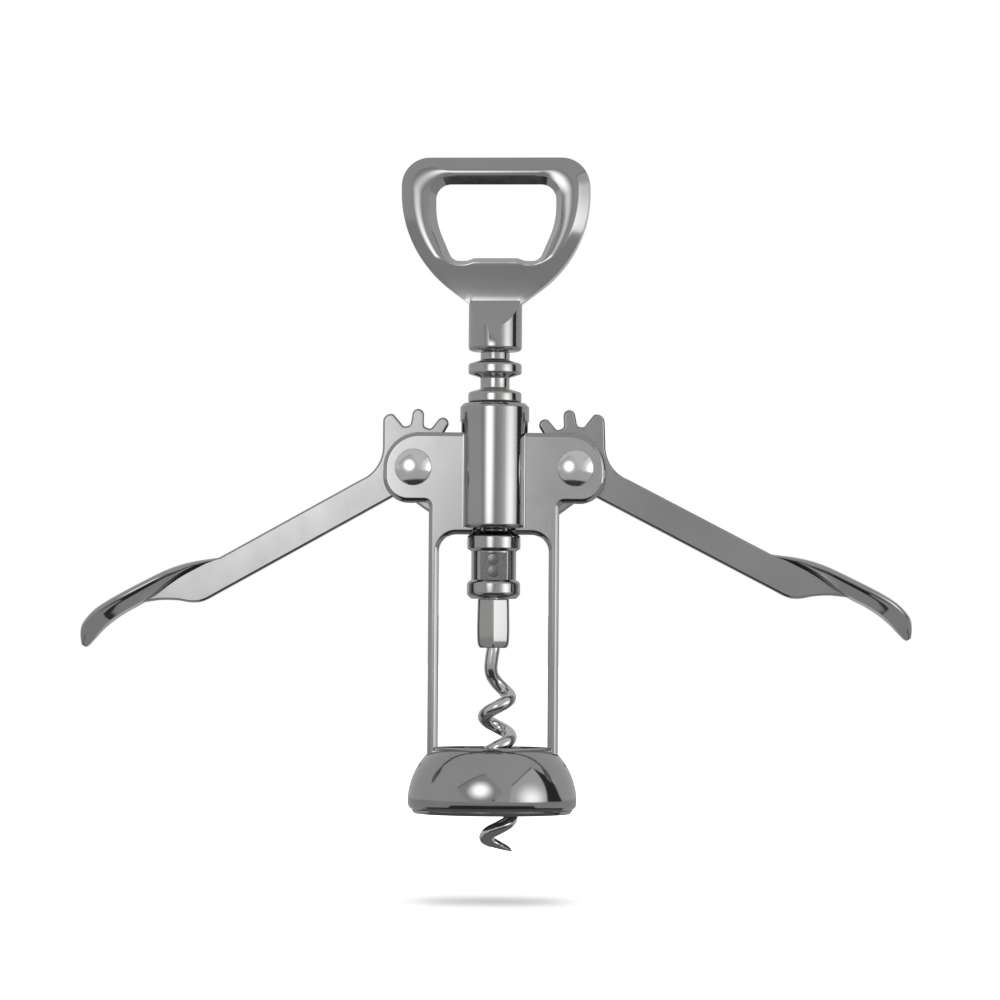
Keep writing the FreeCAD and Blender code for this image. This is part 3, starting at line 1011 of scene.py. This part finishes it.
@dataclass
class RingedRack:
    """The turned sleeve whose rings the gear sectors climb."""

    ring_pitch: float = 6.89
    first_ring: float = 106.6
    ring_count: int = 7
    ring_radius: float = 6.4
    root_radius: float = 3.5
    tip_half: float = 1.2
    root_half: float = 2.1
    bore: float = 1.65
    flat: float = 4.4
    flat_span: Pair = (55.8, 62.4)
    boss_heights: Pair = (60.9, 57.9)

    def profile(self) -> list[Triple]:
        """Return the profile's corners (radius, height, rounding).

        Returns:
            The corners, round the section.
        """
        corners = [(self.bore, 110.75, 0.0), (self.root_radius, 110.75, 0.3)]
        for i in range(self.ring_count):
            z = self.first_ring - self.ring_pitch * i
            ring = [(self.root_radius, z + self.root_half, 0.45), (self.ring_radius, z + self.tip_half, 0.7),
                    (self.ring_radius, z - self.tip_half, 0.6), (self.root_radius, z - self.root_half, 0.45)]
            corners += ring if i < self.ring_count - 1 else ring[:2]
        corners += [(self.ring_radius, 63.4, 0.3), (5.4, 62.8, 0.3), (5.4, 55.7, 0.3), (5.8, 55.7, 0.15),
                    (6.4, 55.1, 0.9), (6.4, 52.4, 1.2), (5.4, 51.4, 0.3), (self.bore, 51.4, 0)]
        return corners

    def boss(self, height: float) -> bpy.types.Object:
        """Return one small plain round boss on the front flat.

        Args:
            height: Height of its middle.

        Returns:
            The boss.
        """
        front, inside = -self.flat, -self.flat + 0.3
        profile = [(0, front - 0.16), (1.25, front - 0.16), (1.42, front - 0.1), (1.5, inside), (0, inside)]
        return turned("boss", profile, Axis.FORWARD, (0, 0, height), 48)

    def build(self) -> bpy.types.Object:
        """Return the rack with the two flats on its barrel.

        Returns:
            The finished rack.
        """
        body = turned("ringed_rack", rounded(self.profile(), 0.1), segments=160)
        low, high = self.flat_span
        for near, far in ((-self.flat - 6, -self.flat), (self.flat, self.flat + 6)):
            work(body, box("flat", (-7, near, low), (7, far, high)), Operation.CUT)
        for height in self.boss_heights:
            work(body, self.boss(height), Operation.JOIN)
        # The flats get the finish whose dark tint is a painted reflection of the camera, over their rough
        # cast grain.
        return stand_for(body, "rack_sleeve", "rack", SPINDLE_CHROME,
                         (CAST_FLAT_PAINTED_DARK, self.is_cast_flat_painted_dark))

    def is_cast_flat_painted_dark(self, polygon: bpy.types.MeshPolygon) -> bool:
        """Tell the barrel's flats and their bosses, which are rough as cast and have their tint painted dark
        as a painted reflection of the camera.

        Args:
            polygon: A face of the rack.

        Returns:
            True for a face of a flat or of a boss.
        """
        across, height = abs(polygon.center.y) / MM, polygon.center.z / MM
        low, high = self.flat_span
        on_flat = self.flat - 0.05 < across < self.flat + 0.2 and low + 0.1 < height < high - 0.1
        return on_flat and abs(polygon.normal.y) > 0.3


@dataclass
class Worm:
    """The steel wire worm and the four-sided ferrule clamped round it."""

    wire: float = 1.6
    helix: float = 3.05
    pitch: float = 9.6
    start: float = 27.9
    end: float = -6.0
    offset: float = 1.0
    lean: float = 0.018
    per_turn: int = 8
    shank_top: float = 119.5
    taper: float = 9.0
    point: float = 0.25
    ferrule_rows: list[Pair] = field(default_factory=lambda: [
        (7.3, 51.3), (7.5, 50.9), (7.6, 49.0), (7.68, 46.8), (7.75, 44.6), (7.7, 42.5), (7.5, 41.0),
        (7.15, 40.2), (6.4, 39.65), (5.6, 39.6)])
    ferrule_depth_share: float = 0.64

    def guide(self) -> list[Triple]:
        """Return the guide points of the wire's centre line, from the shank to the point.

        Returns:
            The points, from the top down.
        """
        points = [(0, 0, 45.0), (0, 0, 41.0), (0, 0, 39.3), (-0.3, 0, 37.2), (-0.5, 0.1, 35.0),
                  (-0.25, 0.6, 33.2), (0.7, 1.4, 31.6), (1.9, 1.7, 30.3), (3.0, 1.5, 29.2)]
        count = int((self.start - self.end) / self.pitch * self.per_turn) + 1
        for i in range(count):
            turn = -i / self.per_turn
            z = self.start + turn * self.pitch
            centre = self.offset + self.lean * (self.start - z)
            angle = math.tau * turn
            points.append((centre + self.helix * math.cos(angle), self.helix * math.sin(angle), z))
        points += [(-0.6, 2.1, -6.7), (0.8, 2.9, -7.3), (2.3, 2.9, -7.9), (3.6, 2.2, -8.35), (4.7, 0.8, -8.9)]
        return points

    def build(self) -> bpy.types.Object:
        """Return the worm, ground to a point at its end.

        Returns:
            The finished worm.
        """
        rows = self.guide()
        steps = 6 * (len(rows) - 1)
        line = [Vector((0, 0, self.shank_top))]
        line += [Vector(through_row(rows, (len(rows) - 1) * i / steps)) for i in range(steps + 1)]
        left = sum((b - a).length for a, b in zip(line, line[1:]))
        radii = []
        for here, following in zip(line, line[1:] + line[-1:]):
            near = max(left, 0.0) / self.taper
            radii.append(self.wire if near >= 1 else self.point + (self.wire - self.point) * near ** 0.8)
            left -= (following - here).length
        return stand_for(swept("steel_worm", line, radii), "worm", "screw", WORM_STEEL)

    def ferrule(self) -> bpy.types.Object:
        """Return the ferrule, a four-sided bar with one blunt corner to the front.

        Returns:
            The finished ferrule.
        """
        rows = []
        steps = 44
        for i in range(steps + 1):
            diagonal, z = through_row(self.ferrule_rows, (len(self.ferrule_rows) - 1) * i / steps)
            wide = diagonal / 2 + 1.2
            deep = wide * self.ferrule_depth_share
            corners = [(wide, 0, 1.4), (0, deep, 0.4), (-wide, 0, 1.4), (0, -deep, 0.4)]
            rows.append([(x, y, z) for x, y in rounded(corners, 0.3)])
        piece = skin("clamped_ferrule", rows)
        return stand_for(piece, "worm_ferrule", "screw", SPINDLE_CHROME)


@dataclass
class OpenerHandle:
    """The D-shaped handle with its cap opening, dished web and neck."""

    turn_deg: float = -3.5
    half_depth: float = 4.8
    wall_half: float = 2.85
    flank: float = 2.2
    ridge_drop: float = 0.42
    crown_radius: float = 8.4
    crown_width: float = 4.4
    crown_peak: float = 1.8
    crown_steps: int = 16
    draft: float = 1.55
    dish_radius: float = 48.0
    dish_lean_deg: float = 9.0
    web_half: float = 2.1
    neck_radius: float = 6.42
    neck_low: float = 110.85
    neck_top: float = 123.0
    facet_foot: float = 116.3
    middle: Pair = (0.0, 142.5)
    outer_corners: list[Triple] = field(default_factory=lambda: [
        (22.65, 157.4, 6.8), (22.65, 134.6, 29.0), (6.1, 122.1, 0.0)])
    opening_corners: list[Triple] = field(default_factory=lambda: [
        (14.5, 151.2, 3.6), (14.45, 142.0, 18.0), (10.45, 132.7, 2.6), (7.0, 132.75, 1.5), (5.2, 133.4, 2.4)])

    def loop(self, half: Sequence[Triple]) -> list[Pair]:
        """Return the closed outline of a half and its mirror image."""
        corners = list(half) + [(-x, z, r) for x, z, r in reversed(half)]
        return counter_clockwise(rounded(corners, 0.2))

    def cast_ray(self, loop: Sequence[Pair], angle: float) -> Pair:
        """Return where a ray from the middle at this angle leaves the outline.

        Args:
            loop: A closed outline.
            angle: The ray's angle from the X axis.

        Returns:
            The point on the outline.
        """
        mx, mz = self.middle
        dx, dz = math.cos(angle), math.sin(angle)
        best = 0.0
        for (ax, az), (bx, bz) in zip(loop, list(loop[1:]) + [loop[0]]):
            ex, ez = bx - ax, bz - az
            under = dx * ez - dz * ex
            if abs(under) < 1e-12:
                continue
            far = ((ax - mx) * ez - (az - mz) * ex) / under
            share = ((ax - mx) * dz - (az - mz) * dx) / under
            if far > best and -1e-9 <= share <= 1 + 1e-9:
                best = far
        return mx + dx * best, mz + dz * best

    def toward(self, outer: Sequence[Pair], inner: Sequence[Pair], distance: float) -> list[Pair]:
        """Return the outer outline moved inward by distance, each point along its own ray.

        Args:
            outer: The outline that moves.
            inner: The points that it moves toward.
            distance: How far, measured square to the outline.

        Returns:
            The moved outline.
        """
        moved = []
        for i, ((x, z), (ix, iz)) in enumerate(zip(outer, inner)):
            before, after = outer[i - 1], outer[(i + 1) % len(outer)]
            ex, ez = unit(after[0] - before[0], after[1] - before[1])
            dx, dz = unit(ix - x, iz - z)
            rate = max(ex * dz - ez * dx, 0.5)
            moved.append((x + dx * distance / rate, z + dz * distance / rate))
        return moved

    def dish(self, z: float) -> float:
        """Return the half thickness that the dished web allows at height z.

        Args:
            z: A height on the handle.

        Returns:
            Half the web's thickness there.
        """
        lean = math.sin(math.radians(self.dish_lean_deg))
        sine = min(lean + max(z - self.neck_top, 0.0) / self.dish_radius, 0.98)
        return self.web_half + self.dish_radius * (math.sqrt(1 - lean ** 2) - math.sqrt(1 - sine ** 2))

    def lower_of(self, height: float, z: float) -> float:
        """Return the lower of a height and the dish, blended where they meet.

        Args:
            height: A half thickness of the ring.
            z: The height that it is for.

        Returns:
            The lower half thickness.
        """
        dish = self.dish(z)
        soft = 0.35
        share = max(0.0, min(1.0, 0.5 + 0.5 * (dish - height) / soft))
        return dish * (1 - share) + height * share - soft * share * (1 - share)

    def rays(self) -> list[float]:
        """Return the angles at which the ring's section is taken, also at its sharp corners.

        Returns:
            The angles in rising order.
        """
        angles = {math.tau * i / 300 for i in range(300)}
        for x, z, radius in self.outer_corners:
            if radius == 0:
                angle = math.atan2(z - self.middle[1], x - self.middle[0])
                angles |= {angle % math.tau, (math.pi - angle) % math.tau}
        return sorted(angles)

    def flank_rows(self, outer: Sequence[Pair], inner: Sequence[Pair]) -> list[list[Triple]]:
        """Return the rows from the middle of the outer wall up the slanted flank.

        Args:
            outer: The ring's outer outline, one point per ray.
            inner: The opening's outline, one point per ray.

        Returns:
            The rows.
        """
        rows = [[(x, 0.0, z) for x, z in outer]]
        rows.append([(x, self.lower_of(self.wall_half - 0.25, z), z) for x, z in outer])
        rise = self.half_depth - self.ridge_drop - self.wall_half
        for share in (0.0, 0.08, 0.5, 0.90, 1.0):
            ease = 0.03 if share in (0.0, 1.0) else 0.0
            moved = self.toward(outer, inner, self.flank * share + ease)
            rows.append([(x, self.lower_of(self.wall_half + rise * share, z), z) for x, z in moved])
        return rows

    def opening_edge(self, inner: Sequence[Pair]) -> list[Triple]:
        """Return the edge where the crowned face meets the drafted opening.

        Args:
            inner: The opening's outline, one point per ray.

        Returns:
            The edge's points.
        """
        edge = []
        for (x, z), (gx, gz) in zip(inner, inset(inner, -self.draft)):
            share = self.lower_of(self.half_depth - 0.22, gz) / self.half_depth
            edge.append((x + (gx - x) * share, share * self.half_depth, z + (gz - z) * share))
        return edge

    def crown_rows(self, ridge: Sequence[Pair], edge: Sequence[Triple]) -> list[list[Triple]]:
        """Return the rows of the crowned face, from the ridge to the opening's edge.

        Args:
            ridge: The flank's upper end, one point per ray.
            edge: The opening's edge, one point per ray.

        Returns:
            The rows.
        """
        rows = []
        for i in range(self.crown_steps + 1):
            t = i / self.crown_steps
            height = self.half_depth - (t * self.crown_width - self.crown_peak) ** 2 / (2 * self.crown_radius)
            row = []
            for (rx, rz), (ex, ey, ez) in zip(ridge, edge):
                z = rz + (ez - rz) * t
                y = self.lower_of(height, z)
                row.append((rx + (ex - rx) * t, min(y, ey) if i == self.crown_steps else y, z))
            rows.append(row)
        return rows

    def ring(self) -> bpy.types.Object:
        """Return the D-shaped ring as a closed skin of rows round its section.

        Returns:
            The ring, without the neck.
        """
        outer_loop, inner_loop = self.loop(self.outer_corners), self.loop(self.opening_corners)
        outer = [self.cast_ray(outer_loop, angle) for angle in self.rays()]
        inner = [self.cast_ray(inner_loop, angle) for angle in self.rays()]
        edge = self.opening_edge(inner)
        rows = self.flank_rows(outer, inner)
        rows += self.crown_rows(self.toward(outer, inner, self.flank + 0.35), edge)
        for share in (0.97, 0.6, 0.3, 0.0):
            rows.append([(x + (ex - x) * share, ey * share, z + (ez - z) * share)
                         for (x, z), (ex, ey, ez) in zip(inner, edge)])
        shell = Shell()
        cycle = [shell.ring([(x, -y, z) for x, y, z in row]) for row in rows]
        cycle += [shell.ring(row) for row in rows[1:-1]][::-1]
        shell.stack(cycle + cycle[:1], capped=False)
        return shell.build("opener_grip")

    def neck(self) -> bpy.types.Object:
        """Return the round neck with its two slanted facets.

        Returns:
            The neck.
        """
        r, low, high = self.neck_radius, self.neck_low, self.neck_top + 1.3
        profile = [(0, low), (r - 1.0, low), (r - 0.62, low + 0.1), (r - 0.28, low + 0.3),
                   (r - 0.08, low + 0.64), (r, low + 1.1), (r, high), (0, high)]
        neck = turned("neck", profile)
        web = self.web_half
        wedge = [(web, self.neck_top), (r, self.facet_foot), (12, 107.5), (12, 127), (web - 0.6, 127),
                 (web - 0.6, self.neck_top + 0.5)]
        for sign in (-1, 1):
            work(neck, skin("wedge", [[(x, sign * y, z) for y, z in wedge] for x in (-9, 9)]), Operation.CUT)
        return neck

    def build(self) -> bpy.types.Object:
        """Return the handle in place.

        Returns:
            The finished handle.
        """
        body = self.ring()
        work(body, self.neck(), Operation.JOIN)
        body.data.transform(Matrix.Rotation(math.radians(self.turn_deg), 4, "Z"))
        return stand_for(body, "opener_handle", "screw", HANDLE_PLATE)


# ---------------------------------------------------------------------------
# Stage
# ---------------------------------------------------------------------------

STAGE_CENTRE = 75
STAGE_RADIUS = 1900
WHITE = (1, 1, 1, 1)


def glow_material(name: str, core: float, edge: float | None = None, reach: float = 1.0,
                  centre: Triple = (0, 0, 0)) -> bpy.types.Material:
    """Return a glowing surface, even or fading from its core to its edge.

    Args:
        name: The material's name.
        core: Strength at the centre.
        edge: Strength from reach on, left out for an even glow.
        reach: Distance in metres over which it fades.
        centre: Centre of the glow in the panel's own coordinates.

    Returns:
        The material.
    """
    material = bpy.data.materials.new(name)
    tree = empty_tree(material)
    glow = add_node(tree, "Emission", {"Strength": core})
    link(glow, "Emission", add_node(tree, "OutputMaterial"), "Surface")
    if edge is not None:
        away = add_node(tree, "VectorMath", {1: centre}, operation="DISTANCE")
        fade = ranged(tree, (0.0, reach), (core, edge), "SMOOTHSTEP")
        link(add_node(tree, "TexCoord"), "Object", away, 0)
        link(away, "Value", fade, "Value")
        link(fade, "Result", glow, "Strength")
    return material


def rectangle(width: float, height: float) -> list[Pair]:
    """Return the corners of a centred rectangle."""
    w, h = width / 2, height / 2
    return [(-w, -h), (w, -h), (w, h), (-w, h)]


@dataclass
class Panel:
    """A studio panel that the metal reflects: a softbox, a card or a dark flag.

    The outline is in metres, in the panel's own plane.
    """

    name: str
    azimuth: float
    elevation: float
    distance: float
    outline: list[Pair]
    core: float
    edge: float | None = None
    reach: float = 1.0
    roll: float = 0.0
    centre: Triple = (0.0, 0.0, 0.0)
    dark_edge: Pair | None = None

    def build(self) -> None:
        """Hang the panel, facing the object and seen only in reflections."""
        mesh = bpy.data.meshes.new(self.name)
        mesh.materials.append(glow_material(self.name, self.core, self.edge, self.reach, self.centre))
        points = [(x, y, 0.0) for x, y in self.outline]
        faces = [list(range(len(points)))]
        if self.dark_edge:
            mesh.materials.append(glow_material("dark_edge", 0.08))
            (ax, ay), (bx, by) = (self.outline[k] for k in self.dark_edge)
            dx, dy = unit(bx - ax, by - ay)
            thick = 0.03 * self.distance
            faces.append([*self.dark_edge, len(points), len(points) + 1])
            points += [(bx + dy * thick, by - dx * thick, 0.0), (ax + dy * thick, ay - dx * thick, 0.0)]
        mesh.from_pydata(points, [], faces)
        if self.dark_edge:
            mesh.polygons[1].material_index = 1
        panel = put(self.name, mesh)
        a, e = math.radians(self.azimuth), math.radians(self.elevation)
        out = Vector((math.sin(a) * math.cos(e), -math.cos(a) * math.cos(e), math.sin(e)))
        roll = Matrix.Rotation(math.radians(self.roll), 4, "Z")
        place = Matrix.Translation(Vector((0, 0, STAGE_CENTRE * MM)) + out * self.distance)
        panel.matrix_world = place @ (-out).to_track_quat("Z", "Y").to_matrix().to_4x4() @ roll
        reflected_only(panel)


def reflected_only(item: bpy.types.Object) -> None:
    """Let only reflections see a stage item.

    Args:
        item: The stage item.
    """
    item.visible_camera = False
    item.visible_diffuse = False
    item.visible_shadow = False
    item.visible_transmission = False


@dataclass
class Studio:
    """Pale floor, white surroundings, soft lamps, reflected cards and the camera."""

    floor_height: float = -0.021
    floor_colour: tuple[float, ...] = (0.86, 0.86, 0.86, 1.0)
    floor_glow: Pair = (0.27, 0.78)
    floor_glow_reach: Pair = (0.03, 0.22)
    wall_strength: float = 0.56
    under_strength: float = 0.14
    grey_strength: float = 0.42
    dark_strength: float = 0.04
    under_radius: float = 40.0
    dark_radius: float = 60.0
    front_radius: float = 150.0
    dark_turn_deg: Pair = (-97.0, 110.0)
    front_turn_deg: Pair = (-55.0, 55.0)
    light_strength: float = 0.55
    lamp_height: float = 0.55
    lamp_size: Pair = (0.36, 1.6)
    lamp_watts: float = 3.4
    camera_place: Triple = (0.0014, -0.9, 0.037)
    camera_target: Triple = (0.0014, 0.0, 0.0751)
    camera_roll_deg: float = 0.4
    camera_lens: float = 135.0

    def wall(self) -> None:
        """Put a round grey wall and ceiling all round, where the metal looks for them."""
        rows = [(math.cos(math.radians(e)), math.sin(math.radians(e))) for e in (-12, 0, 15, 30, 45, 60, 75)]
        rows.append((0.0, 1.0))
        profile = [(STAGE_RADIUS * c, STAGE_CENTRE + STAGE_RADIUS * s) for c, s in rows]
        wall = turned("studio_wall", profile, segments=48)
        wall.data.materials.append(glow_material("studio_wall", self.wall_strength))
        reflected_only(wall)

    def table(self) -> None:
        """Put the reflected table top just above the floor: dark close in at the front, grey further out."""
        height = self.floor_height / MM + 1.0
        angles = [math.tau * i / 72 for i in range(72)]
        shell = Shell()
        rings = [shell.ring([(r * math.sin(a), -r * math.cos(a), height) for a in angles])
                 for r in (self.under_radius, self.dark_radius, self.front_radius, STAGE_RADIUS - 10)]
        shell.cap(rings[0])
        shell.stack(rings, capped=False)
        table = shell.build("reflected_table")
        zones = {"under": self.under_strength, "grey": self.grey_strength, "dark": self.dark_strength}
        for zone, strength in zones.items():
            table.data.materials.append(glow_material(f"table_{zone}", strength))
        for face in table.data.polygons:
            spot = face.center / MM
            face.material_index = list(zones).index(self.table_zone(spot.x, spot.y))
        reflected_only(table)

    def table_zone(self, x: float, y: float) -> str:
        """Return the zone of the table that a place in millimetres lies in.

        Args:
            x: Distance to the right.
            y: Distance to the back.

        Returns:
            The zone's name.
        """
        away, turn = math.hypot(x, y), math.degrees(math.atan2(x, -y))
        if away < self.under_radius:
            return "under"
        if away > self.front_radius:
            return "grey"
        first, last = self.dark_turn_deg if away < self.dark_radius else self.front_turn_deg
        return "dark" if first < turn < last else "grey"

    def panels(self) -> None:
        """Hang the softboxes and flags."""
        dark = self.dark_strength
        side = [(0.53, -0.33), (0.444, -0.115), (0.325, 0.075), (0.069, 0.197), (-0.208, 0.301),
                (-0.235, 0.037), (-0.241, -0.33)]
        flag = [(0.026, 0.124), (0.014, 0.23), (-0.033, 0.121), (-0.141, -0.014), (-0.18, -0.118),
                (-0.22, -0.236), (-0.33, -0.351), (0.042, -0.347), (0.06, -0.268), (0.039, -0.105),
                (0.033, 0.006)]
        for panel in (
            Panel("key_softbox", -16.5, 8.5, 0.30, rectangle(0.27, 0.27), core=3.0, edge=0.47, reach=0.115,
                  roll=52.0, dark_edge=(1, 2)),
            Panel("side_softbox", 60, 20, 0.62, side, core=2.2, edge=0.72, reach=0.34,
                  centre=(0.06, -0.24, 0.0), dark_edge=(2, 4)),
            Panel("side_flag", 85, 22, 0.60, flag, core=dark),
            Panel("camera_flag", 1.5, -1.0, 0.90, rectangle(0.07, 0.07), core=dark),
            Panel("back_card", 180, -17.4, 0.157, rectangle(0.08, 0.044), core=0.03),
            Panel("back_softbox", 205, 30, 1.6, rectangle(0.9, 0.9), core=3.0, edge=1.0, reach=0.6),
        ):
            panel.build()

    def floor(self) -> None:
        """Lay the pale floor, which keeps the object's shadow."""
        width = 60.0
        mesh = bpy.data.meshes.new("floor")
        mesh.from_pydata([(x, y, 0) for x, y in rectangle(width, width)], [], [(0, 1, 2, 3)])
        floor = put("floor", mesh)
        floor.location.z = self.floor_height
        material = bpy.data.materials.new("pale_floor")
        material.use_nodes = True
        tree = material.node_tree
        shader = tree.nodes["Principled BSDF"]
        set_inputs(shader, {"Base Color": self.floor_colour, "Roughness": 0.9, "Specular IOR Level": 0.0,
                            "Emission Color": WHITE})
        away = add_node(tree, "VectorMath", operation="LENGTH")
        rise = ranged(tree, self.floor_glow_reach, self.floor_glow, "SMOOTHSTEP")
        strength = add_node(tree, "Math", operation="MULTIPLY")
        link(add_node(tree, "TexCoord"), "Object", away, 0)
        link(away, "Value", rise, "Value")
        link(self.shown_rays(tree), "Value", strength, 0)
        link(rise, "Result", strength, 1)
        link(strength, "Value", shader, "Emission Strength")
        mesh.materials.append(material)

    def shown_rays(self, tree: bpy.types.NodeTree) -> bpy.types.Node:
        """Return a node whose value is one for camera, glossy and transmission rays.

        Args:
            tree: The tree that gets the nodes.

        Returns:
            The last of the nodes.
        """
        path = add_node(tree, "LightPath")
        first, second = (add_node(tree, "Math", operation="MAXIMUM") for _ in range(2))
        link(path, "Is Camera Ray", first, 0)
        link(path, "Is Glossy Ray", first, 1)
        link(first, "Value", second, 0)
        link(path, "Is Transmission Ray", second, 1)
        return second

    def surroundings(self) -> None:
        """Make the world: soft grey light, and white wherever it shows."""
        world = bpy.data.worlds.new("surroundings")
        bpy.context.scene.world = world
        tree = empty_tree(world)
        blend = add_node(tree, "MixShader")
        link(self.shown_rays(tree), "Value", blend, "Fac")
        for number, strength in ((1, self.light_strength), (2, 1.0)):
            light = add_node(tree, "Background", {"Color": WHITE, "Strength": strength})
            link(light, "Background", blend, number)
        link(blend, "Shader", add_node(tree, "OutputWorld"), "Surface")

    def top_lamp(self) -> None:
        """Hang one soft lamp overhead, which draws the shadow under the bell."""
        data = bpy.data.lights.new("top_lamp", "AREA")
        data.shape = "ELLIPSE"
        data.size, data.size_y = self.lamp_size
        data.energy = self.lamp_watts
        lamp = put("top_lamp", data)
        lamp.location.z = self.lamp_height
        lamp.visible_glossy = False

    def camera(self) -> None:
        """Place the camera."""
        data = bpy.data.cameras.new("camera")
        data.lens = self.camera_lens
        data.sensor_width = 36.0
        camera = put("camera", data)
        place, target = Vector(self.camera_place), Vector(self.camera_target)
        turn = (target - place).to_track_quat("-Z", "Y").to_matrix().to_4x4()
        roll = Matrix.Rotation(math.radians(self.camera_roll_deg), 4, "Z")
        camera.matrix_world = Matrix.Translation(place) @ turn @ roll
        bpy.context.scene.camera = camera

    def build(self) -> None:
        """Set the whole stage."""
        bpy.context.scene.view_settings.view_transform = "Standard"
        self.camera()
        self.surroundings()
        self.floor()
        self.top_lamp()
        self.wall()
        self.table()
        self.panels()


def main() -> None:
    """Build the stage and every piece of the corkscrew."""
    logging.basicConfig(level=logging.INFO, format="%(message)s")
    Studio().build()
    casting = FrameCasting()
    casting.build()
    casting.seat()
    for side in Side:
        casting.rivet(side)
        Lever(side).build()
    RingedRack().build()
    screw = Worm()
    screw.build()
    screw.ferrule()
    OpenerHandle().build()


if __name__ == "__main__":
    main()
